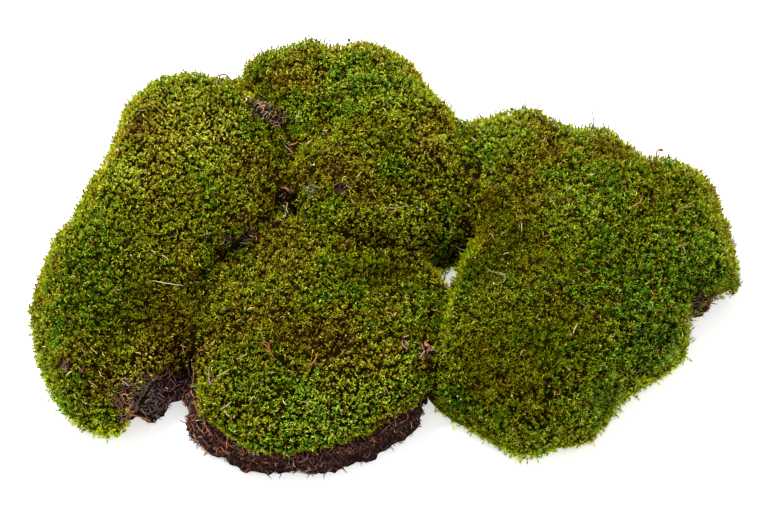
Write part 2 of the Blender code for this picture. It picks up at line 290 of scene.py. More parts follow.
class Pattern:
    """A small shape to be copied many times, as arrays: points, faces, and tone and light at each point."""

    def __init__(self, shape):
        shape.verts.index_update()
        self.points = np.array([vert.co for vert in shape.verts])
        self.faces = np.array([[vert.index for vert in face.verts] for face in shape.faces])
        layers = [shape.verts.layers.float[name] for name in ("tone", "light")]
        self.tone, self.light = (np.array([vert[layer] for vert in shape.verts]) for layer in layers)
        shape.free()


def start_pattern():
    """An empty bmesh whose corners have a tone and a light."""
    shape = bmesh.new()
    shape.verts.layers.float.new("tone")
    shape.verts.layers.float.new("light")
    return shape


def colour_corner(shape, corner, tone, light):
    corner[shape.verts.layers.float["tone"]] = tone
    corner[shape.verts.layers.float["light"]] = light


def add_leaf(shape, length, width, pitch, heading, foot, shades, tone):
    """One blade from the stem at a height foot, rising at pitch over the level."""
    blade = bmesh.ops.create_circle(shape, cap_ends=True, segments=4, radius=1)["verts"]
    for corner in blade:
        side = round(corner.co.y)
        at = 0 if corner.co.x < -0.5 else 2 if corner.co.x > 0.5 else 1
        colour_corner(shape, corner, tone + side * LEAF_TONE_WIDTH / 2, shades[at])
        corner.co = ((0, WIDEST_AT, 1)[at] * length, side * width / 2, FOLD * length if side else 0)
    turn = Matrix.Rotation(heading, 4, "Z") @ Matrix.Rotation(-pitch, 4, "Y")
    bmesh.ops.transform(shape, matrix=Matrix.Translation((0, 0, foot)) @ turn, verts=blade)


def shoot(whorls, length, width, shades):
    """A shoot of several whorls: (leaves, lowest pitch, highest pitch, height of their feet, lightness,
    which paints the lower whorls darker as painted shade).
    """
    shape = start_pattern()
    heading = chance.uniform(0, math.tau)
    for count, low, high, foot, light in whorls:
        for _ in range(count):
            heading += GOLDEN_ANGLE + chance.normal(0, 0.25)
            add_leaf(
                shape,
                length * chance.uniform(0.85, 1.15) * MM,
                width * chance.uniform(0.85, 1.15) * MM,
                math.radians(chance.uniform(low, high)),
                heading,
                (foot + chance.uniform(-0.1, 0.1)) * MM,
                np.multiply(shades, light * chance.uniform(*LEAF_LUCK)),
                chance.normal(0, 0.03),
            )
    return Pattern(shape)


# each whorl's lightness paints the lower leaves darker as painted shade; the lit habit's is lighter as
# painted light
HABITS = (  # the whorls, and a leaf's length and width in millimetres
    (((5, 10, 45, -0.5, 0.6), (4, 45, 85, -0.1, 1.2)), 1.25, 0.5),
    (((4, 30, 60, -1.1, 0.45), (4, 50, 85, -0.2, 1.2)), 1.6, 0.48),
    (((4, 30, 60, -0.7, 0.5), (4, 60, 88, -0.2, 1.2)), 1.1, 0.5),
    (((4, 30, 65, -1.1, 0.85), (4, 50, 85, -0.2, 1.0)), 1.6, 0.46),
    (((5, 10, 50, -0.6, 0.7), (4, 40, 85, -0.2, 1.3)), 1.9, 0.3),
)
STAR, SLENDER, DRY, LIT, NEEDLE = range(5)
SHOOTS_OF = np.array([8, 7, 6, 7, 8])
FIRST_SHOOT = np.cumsum(SHOOTS_OF) - SHOOTS_OF
LEANS = np.repeat((0.2, 0.42, 0.3, 0.35, 0.3), SHOOTS_OF)  # how far each pattern's shoots stray from upright
shoots = [
    shoot(*HABITS[habit], LIT_SHADES if habit == LIT else LEAF_SHADES)
    for habit in (STAR, SLENDER, DRY, LIT, NEEDLE) for _ in range(SHOOTS_OF[habit])
]
print("shoot patterns:", len(shoots), "with", sorted({len(s.faces) for s in shoots}), "leaves")

# %% [markdown]
# # Copying small things
# Joining copies by arrays is quick: every pattern's points are turned, sized and moved for all its copies
# at once, and the result becomes one mesh. Its UV map holds the spot of the palette for every corner.

# %% Scatter
TABLE_CLEARANCE = 0.15 * MM
ALIKE = (1, 1, 1)  # sizes across and along a copy's own up


def unit(vectors):
    return vectors / np.linalg.norm(vectors, axis=1, keepdims=True)


def upright_turns(directions):
    """Rotations that stand a pattern's up along each direction, spun at random about it."""
    directions = unit(directions)
    beside = unit(np.cross(directions, chance.normal(size=directions.shape)))
    return np.stack([beside, np.cross(directions, beside), directions], axis=2)


def finished_piece(name, mesh, finish):
    """Links a mesh as a piece of the clump, in its finish, riding on the clump's one body."""
    mesh.materials.append(finish.material)
    piece = linked(name, mesh)
    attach(piece, "root")
    return piece


def finished_body(name, shape, finish, smooth=True):
    """The same for a bmesh."""
    mesh = bpy.data.meshes.new(name)
    shape.to_mesh(mesh)
    shape.free()
    if smooth:
        mesh.shade_smooth()
    return finished_piece(name, mesh, finish)


def scatter(name, patterns, kinds, places, turns, sizes, tones, lights, finish):
    """One piece made of many copies. sizes scale a copy across and along its own up: an array of (n, 3)."""
    points, faces, spots = [], [], []
    start = 0
    for kind, pattern in enumerate(patterns):
        chosen = np.flatnonzero(kinds == kind)
        if not len(chosen):
            continue
        sized = pattern.points[None] * sizes[chosen, None]
        placed = np.einsum("nij,npj->npi", turns[chosen], sized) + places[chosen, None]
        first = start + np.arange(len(chosen)) * len(pattern.points)
        points.append(placed.reshape(-1, 3))
        faces.append((pattern.faces[None] + first[:, None, None]).reshape(-1, pattern.faces.shape[1]))
        spot = np.stack([tones[chosen, None] + pattern.tone, lights[chosen, None] * pattern.light], axis=2)
        spots.append(spot[:, pattern.faces].reshape(-1, 2))
        start += len(chosen) * len(pattern.points)
    points = np.concatenate(points)
    points[:, 2] = np.maximum(points[:, 2], TABLE_CLEARANCE)
    mesh = bpy.data.meshes.new(name)
    mesh.from_pydata(points, [], np.concatenate(faces))
    spots = np.clip(np.concatenate(spots), 0.01, 0.99)
    mesh.uv_layers.new(name=PALETTE_MAP).data.foreach_set("uv", spots.astype(np.float32).ravel())
    return finished_piece(name, mesh, finish)


def triangles(piece):
    return sum(len(face.vertices) - 2 for face in piece.data.polygons)


print("copies keep", TABLE_CLEARANCE / MM, "mm off the table")

# %% [markdown]
# # Thin round things
# Rootlets, straws, twigs and spore stalks are all thin and round. A disc is extruded from point to point
# along a route, and turned and scaled at each, which gives a closed tube that may taper.

# %% Tubes
STANDING = Vector((0, 0, 1))


def grow_tube(shape, route, radii, sides):
    """Adds a closed tube along a route of points, with a radius at each. Returns its corners."""
    steps = [(after - before).normalized() for before, after in zip(route, route[1:])]
    ways = [steps[0], *((one + two).normalized() for one, two in zip(steps, steps[1:])), steps[-1]]
    stand = Matrix.Translation(route[0]) @ STANDING.rotation_difference(ways[0]).to_matrix().to_4x4()
    disc = bmesh.ops.create_circle(shape, cap_ends=True, segments=sides, radius=radii[0], matrix=stand)
    corners = list(disc["verts"])
    end = corners[0].link_faces[0]
    for index in range(1, len(route)):
        grown = bmesh.ops.extrude_face_region(shape, geom=[end])["geom"]
        end = next(item for item in grown if isinstance(item, bmesh.types.BMFace))
        turn = ways[index - 1].rotation_difference(ways[index]).to_matrix().to_4x4()
        size = Matrix.Scale(radii[index] / radii[index - 1], 4)
        move = Matrix.Translation(route[index]) @ turn @ size @ Matrix.Translation(-route[index - 1])
        bmesh.ops.transform(shape, matrix=move, verts=end.verts)
        corners += end.verts
    return corners


print("a tube of three points and four sides has", 4 * 2 + 2, "faces")

# %% [markdown]
# # Rootlets and crumbs
# The soil is mostly hair-fine roots, matted together, with crumbs of earth in them. A rootlet is a bent
# tube of three sides that lies along X, and a crumb a dented ball of twenty faces. Their palette runs from
# black earth to white sand.

# %% Rootlets and crumbs
LITTER_TONES = (
    (0.00, (40, 24, 32)), (0.12, (70, 44, 42)), (0.26, (132, 72, 50)),
    (0.40, (198, 112, 58)), (0.52, (150, 118, 56)), (0.64, (104, 84, 98)),
    (0.76, (186, 148, 130)), (0.88, (238, 212, 146)), (1.00, (250, 244, 232)),
)
LITTER_TONE_OF = {
    "earth": 0.03, "root": 0.14, "red brown": 0.26, "orange": 0.39, "yellow brown": 0.5,
    "grey purple": 0.64, "pink": 0.76, "straw": 0.88, "white": 0.98,
}
litter_finish = palette("litter", LITTER_TONES, (255, 240, 220), paleness=0.1, roughness=0.7)
RISES = (0.35, 0.15, -0.1, -0.5)  # of a rootlet's four steps, so that both ends dip into the mat
ROOTLET_SHARES = (0.7, 1, 1, 0.85, 0.4)  # of its thickness at each point


def rootlet(length, thickness):
    """A rootlet that lies along X, bent at random."""
    shape = start_pattern()
    heading = chance.normal(0, 0.3)
    route = [Vector((0, 0, -0.2))]
    for rise in RISES:
        heading += chance.normal(0, 0.42)
        route.append(route[-1] + Vector((math.cos(heading), math.sin(heading), rise)) * length / 4)
    middle = route[2].copy()
    route = [(point - Vector((middle.x, middle.y, 0))) * MM for point in route]
    radii = [thickness * share * MM / 2 for share in ROOTLET_SHARES]
    for corner in grow_tube(shape, route, radii, sides=3):
        colour_corner(shape, corner, chance.normal(0, 0.02), chance.uniform(0.55, 1))
    bmesh.ops.triangulate(shape, faces=shape.faces[:])
    bmesh.ops.recalc_face_normals(shape, faces=shape.faces[:])
    return Pattern(shape)


def crumb():
    """A dented ball of earth, about a millimetre across."""
    shape = start_pattern()
    for corner in bmesh.ops.create_icosphere(shape, subdivisions=1, radius=0.5 * MM)["verts"]:
        corner.co *= chance.uniform(0.6, 1.1)
        colour_corner(shape, corner, chance.normal(0, 0.02), chance.uniform(0.6, 1))
    return Pattern(shape)


rootlets = [rootlet(chance.uniform(1.8, 4.4), chance.uniform(0.28, 0.5)) for _ in range(14)]
crumbs = [crumb() for _ in range(6)]
print("a rootlet has", len(rootlets[0].faces), "faces and a crumb", len(crumbs[0].faces))

# %% [markdown]
# # Where shoots stand
# Shoots stand about a millimetre apart and never on top of each other. Darts thrown at random over a skin
# give that: each is kept only if no kept one is closer than the spacing. A grid of cells makes the test
# quick.

# %% Evenly spread places
DARTS_PER_PLACE = 5
SPACING = 1.24 * MM
AROUND = [(x, y, z) for x in (-1, 0, 1) for y in (-1, 0, 1) for z in (-1, 0, 1)]


def spread(skin, spacing):
    """Places over a skin, no two closer than the spacing, and the way the skin faces at each."""
    corners = np.array([[vert.co for vert in face.verts] for face in skin.faces])
    normals = np.array([[vert.normal for vert in face.verts] for face in skin.faces])
    sides = corners[:, 1:] - corners[:, :1]
    areas = np.linalg.norm(np.cross(sides[:, 0], sides[:, 1]), axis=1) / 2
    count = int(DARTS_PER_PLACE * areas.sum() / spacing**2)
    face = chance.choice(len(areas), count, p=areas / areas.sum())
    share = chance.uniform(size=(count, 2))
    share = np.where(share.sum(1, keepdims=True) > 1, 1 - share, share)
    weights = np.stack([1 - share.sum(1), share[:, 0], share[:, 1]], axis=1)[:, :, None]
    darts = (corners[face] * weights).sum(1)
    facings = unit((normals[face] * weights).sum(1))
    held, kept = {}, []
    cells = np.floor(darts / spacing).astype(int)
    for index, ((column, row, layer), dart) in enumerate(zip(cells.tolist(), darts.tolist())):
        near = (other for x, y, z in AROUND for other in held.get((column + x, row + y, layer + z), ()))
        if all(math.dist(other, dart) >= spacing for other in near):
            held.setdefault((column, row, layer), []).append(dart)
            kept.append(index)
    return darts[kept], facings[kept]


grounds = {name: spread(skins[f"moss_{name}"], SPACING) for name in CUSHIONS}
print("places:", {name: len(ground[0]) for name, ground in grounds.items()})

# %% [markdown]
# # Bridges over the seams
# Where cushions press on each other, their shoots lean together and hide most of the seam. A height map
# finds those places: closing it, which is to spread every height over a small disc and then to draw the
# edges back in, fills whatever is narrower than the disc. A grid lifted to the closed heights, and kept
# only over seams, is a skin to plant on like the others. Where the photograph looks down between the
# cushions, it has a hole.
#
# Such places are named here and in later cells by spots, which are texts of numbers read off the
# photograph: the pixel, the radius on the clump in millimetres and, in some lists, a value.

# %% Seam bridges
CELL = 1 * MM
MAP_MARGIN = 8 * MM
SEAM_DISC = 5 * MM
BRIDGE_DEPTH = 0.8 * MM  # a dip shallower than this needs no bridge
DOWN = Vector((0, 0, -1))


def spots(text):
    """The spots in a text: tuples of pixel, radius and sometimes a value."""
    return [tuple(float(word) for word in spot.split()) for spot in text.split(",")]


UNBRIDGED = spots("453 279 7.5, 447 291 2.5, 166 398 5, 150 400 8")
map_start = np.array(cad_box[0])[:2] - MAP_MARGIN
map_cells = np.ceil((np.array(cad_box[1])[:2] + MAP_MARGIN - map_start) / CELL).astype(int)
cell_places = map_start + CELL * np.moveaxis(np.indices(map_cells), 0, -1)


def height_map(node):
    """How high a node stands over each cell of the table, or 0 beside it."""
    heights = np.zeros(map_cells)
    for cell in np.ndindex(*map_cells):
        place = trees[node].ray_cast(Vector((*cell_places[cell], 2 * cad_box[1][2])), DOWN)[0]
        heights[cell] = place.z if place else 0
    return heights


def over_disc(cells, pick):
    """Each cell's pick, such as the highest, of the cells around it within the seam disc."""
    reach = round(SEAM_DISC / CELL)
    best = cells.copy()
    for x in range(-reach, reach + 1):
        for y in range(-reach, reach + 1):
            if x * x + y * y <= reach * reach:
                best = pick(best, np.roll(cells, (x, y), (0, 1)))
    return best


cushion_heights = [height_map(f"moss_{name}") for name in CUSHIONS]
heights = np.max(cushion_heights, axis=0)
closed_heights = over_disc(over_disc(heights, np.maximum), np.minimum)
seams = sum(over_disc(each > 0, np.maximum) for each in cushion_heights) > 1
for spot in UNBRIDGED:
    seams &= np.linalg.norm(cell_places - landing(spot)[0].xy, axis=2) > spot[2] * MM
bridged = seams & (closed_heights > heights + BRIDGE_DEPTH)


def seam_grid(kept):
    """A grid lifted to the closed heights over the kept cells."""
    skin = bmesh.new()
    last = map_cells - 1
    bmesh.ops.create_grid(skin, x_segments=last[0], y_segments=last[1], size=0.5)
    bare = []
    for vert in skin.verts:
        cell = tuple(np.round((np.array(vert.co.xy) + 0.5) * last).astype(int))
        vert.co = (*cell_places[cell], closed_heights[cell])
        if not kept[cell]:
            bare.append(vert)
    bmesh.ops.delete(skin, geom=bare, context="VERTS")
    for _ in range(2):
        bmesh.ops.smooth_vert(skin, verts=skin.verts, factor=0.5, use_axis_z=True)
    bmesh.ops.triangulate(skin, faces=skin.faces[:])
    skin.normal_update()
    return skin


skins["bridge"] = seam_grid(bridged)
trees["bridge"] = BVHTree.FromBMesh(skins["bridge"])
grounds["bridge"] = spread(skins["bridge"], SPACING)
print("bridges:", len(skins["bridge"].faces), "faces,", len(grounds["bridge"][0]), "places")

# %% [markdown]
# # How open each place is
# A shoot deep in a seam between two cushions gets no light and doesn't grow, and one at the seam's lip
# reaches up to close it. Rays cast from each place into the half sphere over it tell how open it is: 1 on
# a crown, 0 inside a closed seam or under the cushion.

# %% Openness
RAY_START = 0.3 * MM
RAY_REACH = 25 * MM
RAYS = 8
SPHERE_SHARE = 0.96  # keeps each ray off the skin that it starts from


def even_directions(count):
    """Directions spread evenly over the sphere, on a spiral."""
    height = 1 - (2 * np.arange(count) + 1) / count
    turn = GOLDEN_ANGLE * np.arange(count)
    across = np.sqrt(1 - height**2)
    return np.stack([across * np.cos(turn), across * np.sin(turn), height], axis=1)


def openness(places, facings):
    """The share of rays into the half sphere over each place that get away."""
    ray_ways = even_directions(RAYS) * SPHERE_SHARE
    free = np.zeros(len(places))
    for index, (place, facing) in enumerate(zip(places, facings)):
        start = Vector(place + facing * RAY_START)
        for way in map(Vector, facing + ray_ways):
            free[index] += not any(tree.ray_cast(start, way, RAY_REACH)[0] for tree in trees.values())
    return free / RAYS


open_share = {name: openness(*ground) for name, ground in grounds.items()}
print("open:", {name: round(float(share.mean()), 2) for name, share in open_share.items()})

# %% [markdown]
# # Colour patches
# Real moss isn't one green. Sunny, fresh and dying shoots stand in patches. Broad noise gives the clump
# its slow changes, and spots name the patches that stand out in each tone.

# %% Patches
PATCHES = {
    "dead": "346 340 5, 708 310 3",
    "brown": """
        140 126 7, 168 362 11, 66 352 7, 100 388 7, 276 80 7, 330 166 10, 350 240 7, 332 325 10,
        304 344 8, 554 148 5, 520 380 11, 480 340 9""",
    "olive brown": """
        158 150 11, 168 288 15, 158 330 14, 250 165 10, 300 76 9, 440 120 8, 426 142 6, 360 190 10,
        400 268 5, 250 320 9, 214 340 8, 338 370 8, 372 370 6, 620 150 7, 480 230 9, 560 312 10,
        480 374 8, 584 370 8""",
    "golden": """
        152 114 15, 204 142 12, 92 346 7, 270 240 9, 300 262 11, 282 292 9, 380 352 7, 546 124 7,
        600 140 8, 650 190 8, 500 190 9, 528 192 7, 530 232 9, 600 330 9, 560 400 8""",
    "olive": """
        214 104 9, 160 205 15, 130 250 11, 300 55 10, 352 130 12, 396 120 9, 440 180 9, 380 228 10,
        424 232 9, 230 290 10, 388 300 10, 522 114 7, 640 230 11, 562 260 10, 500 300 11""",
    "yellow green": """
        186 116 14, 116 172 9, 96 216 11, 58 300 9, 44 330 7, 58 385 7, 100 426 6, 228 156 7, 270 372 8,
        236 428 7, 584 210 8, 690 182 8, 520 442 8""",
    "bright": """
        110 290 26, 500 340 28, 205 162 10, 112 266 13, 88 290 12, 112 408 8, 262 62 7, 396 88 15,
        336 58 8, 302 106 7, 388 166 6, 322 205 7, 420 305 7, 250 388 10, 300 402 13, 332 420 10,
        292 428 7, 370 392 10, 404 382 7, 496 132 13, 600 186 12, 716 270 7, 660 300 9, 668 362 6,
        480 420 8, 698 226 7""",
    "fresh": """
        640 256 30, 600 372 22, 248 128 6, 128 162 6, 62 330 7, 350 72 15, 286 122 6, 392 158 4,
        428 290 7, 480 160 8, 700 250 10, 448 400 7, 600 394 11""",
    "deep": "690 282 10, 650 334 14",
}
PATCH_STRENGTH = 0.75

patch_spots = [spot for text in PATCHES.values() for spot in spots(text)]
patch_tones = np.repeat([TONE_OF[tone] for tone in PATCHES], [len(spots(text)) for text in PATCHES.values()])


def wander(places, distance, layer):
    """Smooth noise at each place, from about -1 to 1, with lumps a given distance apart."""
    return np.array([noise.noise(Vector(p) / distance + Vector((0, 0, layer))) for p in places.tolist()]) * 2


def near_spots(places, named):
    """The nearness, from 0 to 1, of each place to each spot."""
    middles = np.array([landing(spot)[0] for spot in named])
    radii = np.array([spot[2] for spot in named]) * MM
    return np.exp(-((np.linalg.norm(places[:, None] - middles, axis=2) / radii) ** 2))


def values_at(places, named):
    """The spots' values at each place, which fade away around each spot."""
    return (near_spots(places, named) * [spot[3] for spot in named]).sum(1)


def base_tones(places):
    """The palette tone of the moss at each place, before each shoot's own luck."""
    tones = 0.6 + 0.12 * wander(places, 34 * MM, 7) + 0.14 * wander(places, 8 * MM, 17)
    tones -= 0.25 * np.clip(wander(places, 5 * MM, 29) - 0.5, 0, 1)
    weights = near_spots(places, patch_spots)
    total = weights.sum(1)
    patched = (weights * patch_tones).sum(1) / np.maximum(total, 1e-6)
    share = PATCH_STRENGTH * np.minimum(total, 1)
    return tones * (1 - share) + patched * share


print("patches:", len(patch_spots))

# %% [markdown]
# # Bare and sunny places
# In a few places the moss has gone and only matted rootlets are left: at the left cushion's corner beside
# the front one, in the crevice between the left and back cushions, and at small spots. Others are painted
# lighter or darker than the shape alone gives, as painted light and painted shade, the darker ones mostly
# along the seams and on slopes turned away from the light. Their spots end in the share by which they are
# painted lighter.

# %% Bare and sunny places
BARE = spots("""
    124 396 6, 128 406 6, 126 420 4, 140 396 7, 154 394 8, 168 392 8, 178 388 5, 148 410 8, 166 408 9,
    180 402 6, 254 103 3.5, 264 109 4.5, 274 116 4, 228 240 2.5, 240 238 2.5, 252 235 2.5, 286 192 3,
    309 188 3, 342 187 2.5, 66 366 2.5, 457 253 4, 710 309 4, 425 350 3
""")
BARE_SHARE = 0.9  # of the shoots that are gone in the middle of a bare place
# painted light and painted shade: each spot's value is the share by which the moss there is painted lighter,
# darker below 0
PAINTED_LIGHT_AND_SHADE = spots("""
    165 135 24 0.5, 178 86 9 0.4, 120 175 14 0.3, 215 118 15 0.45, 210 140 10 0.4, 208 150 9 0.2,
    143 176 10 0.55, 60 280 13 -0.1, 110 270 18 -0.1, 90 310 16 -0.1, 145 300 14 -0.4, 118 330 12 -0.2,
    98 362 11 -0.3, 146 366 11 0.7, 178 368 7 -0.1, 112 426 9 0.4, 100 264 14 0.2, 228 156 7 0.2,
    120 372 7 -0.25, 156 336 7 -0.2, 345 62 14 0.45, 272 84 8 -0.3, 300 110 9 0.2, 395 95 14 0.35,
    433 140 10 0.5, 398 142 8 -0.25, 290 140 8 -0.3, 268 122 5 -0.35, 284 152 5 -0.4, 284 186 6 -0.5,
    276 206 5 -0.3, 446 230 8 0.4, 336 84 8 0.2, 372 228 7 0.15, 444 192 7 -0.12, 232 242 8 -0.3,
    206 268 6 -0.3, 196 300 6 -0.35, 194 330 6 -0.3, 364 272 12 -0.4, 398 276 10 -0.35, 398 304 8 0.2,
    285 330 9 -0.15, 230 380 8 0.2, 330 402 14 0.42, 332 430 10 0.4, 396 374 13 0.4, 400 238 9 0.35,
    285 432 11 0.25, 436 330 5 -0.25, 430 372 5 -0.25, 264 442 6 0.2, 390 264 9 -0.2, 408 336 7 -0.22,
    300 336 7 -0.13, 470 120 9 0.35, 500 128 12 0.1, 648 164 12 -0.25, 698 196 9 -0.2, 494 206 11 -0.5,
    560 176 8 0.2, 592 208 9 0.4, 656 208 8 -0.25, 466 240 8 -0.3, 500 252 15 -0.35, 600 250 16 -0.2,
    470 274 13 -0.35, 560 300 22 -0.2, 560 350 18 -0.35, 490 350 18 -0.35, 466 392 14 -0.3,
    540 400 14 -0.15, 486 436 10 -0.2, 724 250 8 0.3, 706 320 8 0.4, 668 358 7 0.5, 630 388 8 0.5,
    594 416 8 0.5, 552 436 8 0.3, 620 150 9 -0.2, 480 156 8 0.3, 446 372 6 0.15, 516 240 12 -0.3,
    552 264 9 -0.2, 552 172 9 -0.18, 588 408 7 -0.15, 516 408 8 -0.15, 685 333 4 0.25, 679 351 4 0.25,
    668 366 4 0.25, 652 379 4 0.25, 634 392 4 0.25, 616 403 4 0.25
""")


def bareness(places):
    """How bare of moss each place is, from 0 to 1, with ragged edges."""
    return np.clip(1.6 * near_spots(places, BARE).max(1) - 0.2 + 0.25 * wander(places, 3 * MM, 71), 0, 1)


def painted_light_and_shade(places):
    """The factor by which each place is painted lighter, or darker below 1: painted light and painted shade.
    """
    return 1 + values_at(places, PAINTED_LIGHT_AND_SHADE)


print("bare places:", len(BARE), "sunny places:", len(PAINTED_LIGHT_AND_SHADE))

# %% [markdown]
# # Relief
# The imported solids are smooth. On the real moss the shoots stand in tufts with pits between, so every
# shoot's tip is moved along the skin's facing by noise of two sizes. A few swells and dents are spots,
# which end in their height in millimetres.

# %% Relief
HIGHEST_TUFT, DEEPEST_PIT = 0.5, -2.4  # millimetres over the skin
SWELLS = spots("""
    337 48 8 -2.4, 150 86 6 -1.4, 590 128 12 -1.2, 712 188 6 -1.2, 444 240 8 2.5, 448 225 7 2,
    300 187 5 -1.5, 284 190 5 -1.5, 275 125 5 -1.5
""")


def relief(places):
    """How far the tips stand over the skin, in metres. Pits are deeper than tufts are high."""
    tufts = 0.75 * wander(places, 5 * MM, 3) + 0.85 * wander(places, 12 * MM, 23)
    return (np.clip(tufts - 0.5, DEEPEST_PIT, HIGHEST_TUFT) + values_at(places, SWELLS)) * MM


print("tufts stand", HIGHEST_TUFT, "mm over the skin at most")

# %% [markdown]
# # Which places grow shoots
# Nothing grows in closed seams, under the clump or beneath the bridges, and little on bare places. Light
# comes through the outermost leaves on the rims of the cushions, and from the table on their hems, just
# over it. There the places grow up to two shoots each.

# %% Growing places
LEAST_OPEN = 0.1
HIDDEN_UNDER = -0.75  # facings that point further down than this can't be seen
HEM_HEIGHT = 13 * MM  # up to here the sides get light from the table, and are painted lighter and yellower green as painted light


def in_sight(name, places):
    """Whether each place of a ground lies clear of the bridges, and not in a seam under one."""
    if name == "bridge":
        return np.ones(len(places), bool)
    column, row = np.round((places[:, :2] - map_start) / CELL).astype(int).T
    return ~(bridged[column, row] & (places[:, 2] < closed_heights[column, row] - BRIDGE_DEPTH))


def growing(name):
    """Where a ground grows shoots, how it faces there, how open it is, and its shares of rim and hem."""
    places, facings = grounds[name]
    grown = (open_share[name] >= LEAST_OPEN) & (facings[:, 2] > HIDDEN_UNDER) & in_sight(name, places)
    grown &= chance.uniform(size=len(places)) > BARE_SHARE * bareness(places)
    rim = np.clip((0.85 - facings[:, 2]) / 0.5, 0, 1) * np.clip(0.35 + 1.3 * facings[:, 1], 0, 1)
    hem = np.clip(1 - places[:, 2] / HEM_HEIGHT, 0, 1) * np.clip(1.2 - facings[:, 2], 0, 1)
    copies = grown * (1 + (np.maximum(rim, hem) > chance.uniform(size=len(places))))
    return [np.repeat(each, copies, axis=0) for each in (places, facings, open_share[name], rim, hem)]


print("under bridges:", {name: int((~in_sight(name, grounds[name][0])).sum()) for name in CUSHIONS})

# %% [markdown]
# # Colours and habits
# Each shoot gets a tone, a lightness and a habit. Dead and dried tones take the closed beads, fresh ones
# the open stars. Next to bare soil the lowest shoots have died to orange brown, and everywhere a few are
# strays.

# %% Colours and habits
DEAD_FRINGE = 4.5 * MM  # how far from bare soil the lowest shoots are dead
# painted light: the yellow green tone that the hems are painted towards
HEM_LIT_TONE = 0.64
STRAY_DEAD, STRAY_FRESH = 0.085, 0.03  # shares of the shoots that are brown or yellow green among others
# painted shade on the shoots over the seams
SEAM_SHADE = 0.8
SLENDER_SHARE = 0.45
NEEDLE_SHARE = {"right": 0.7, "bridge": 0.3, "back": 0.2, "front": 0.15, "left": 0.1}
LIT_SHARE = 0.85  # of the shoots where the most light comes through


def distance_to(kind, places):
    """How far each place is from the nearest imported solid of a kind."""
    near = [tree for node, tree in trees.items() if node.startswith(kind)]
    return np.array([min(tree.find_nearest(Vector(p))[3] for tree in near) for p in places.tolist()])


def shoot_colours(name, places, ragged, open_to, rim, hem):
    """The tone and the lightness of the shoot at each place, with painted light on the rims and hems and
    painted shade where the place is less open.
    """
    count = len(places)
    tones = base_tones(places) + 0.05 * ragged / MM + 0.06 + chance.normal(0, 0.09, count)
    fringe = 1 - distance_to("soil", places) / DEAD_FRINGE + 0.4 * wander(places, 4 * MM, 41)
    fringe = np.clip(fringe, 0, 1)
    tones = tones * (1 - fringe) + TONE_OF["brown"] * fringe
    stray = chance.uniform(size=count)
    tones = np.where(stray < STRAY_DEAD, TONE_OF["brown"] + chance.normal(0, 0.05, count), tones)
    tones = np.where(stray > 1 - STRAY_FRESH, TONE_OF["yellow green"], tones)
    # painted light: hems and rims are painted towards yellow green, for light from the table and through the
    # leaves
    tones += hem * (HEM_LIT_TONE - tones) * np.where(fringe > 0.3, 0.3, 0.6)
    tones += rim * 0.35 * (TONE_OF["yellow green"] - tones)
    # painted shade where a place is less open, painted light on hems and rims, and the painted light and
    # painted shade of the spots
    lights = np.clip(chance.normal(0.82, 0.16, count), 0.35, 1.2) * (0.75 + 0.25 * open_to)
    lights *= painted_light_and_shade(places) * (1 + 0.5 * hem + 0.1 * rim) * (SEAM_SHADE if name == "bridge" else 1)
    return tones, lights


def shoot_habits(name, tones, lit):
    """The habit of each shoot, and the number of its pattern."""
    count = len(tones)
    dry = chance.uniform(size=count) < np.clip(1.1 - 1.9 * tones, 0.05, 0.9)
    habit = np.where(dry, DRY, np.where(chance.uniform(size=count) < SLENDER_SHARE, SLENDER, STAR))
    habit = np.where(chance.uniform(size=count) < NEEDLE_SHARE[name] * (1 - 0.6 * dry), NEEDLE, habit)
    habit = np.where(chance.uniform(size=count) < LIT_SHARE * lit, LIT, habit)
    kinds = FIRST_SHOOT[habit] + np.floor(SHOOTS_OF[habit] * chance.uniform(size=count)).astype(int)
    return habit, kinds


print("strays:", round(100 * (STRAY_DEAD + STRAY_FRESH), 1), "percent")

# %% [markdown]
# # Planting the shoots
# A shoot leans out from the skin and a little upwards, and its tip follows the relief. Some shoots stand
# out from the rest, more of them on the rims. The lit shoots are a piece of their own, and more of the
# others than one mesh should hold are several, from the back to the front.

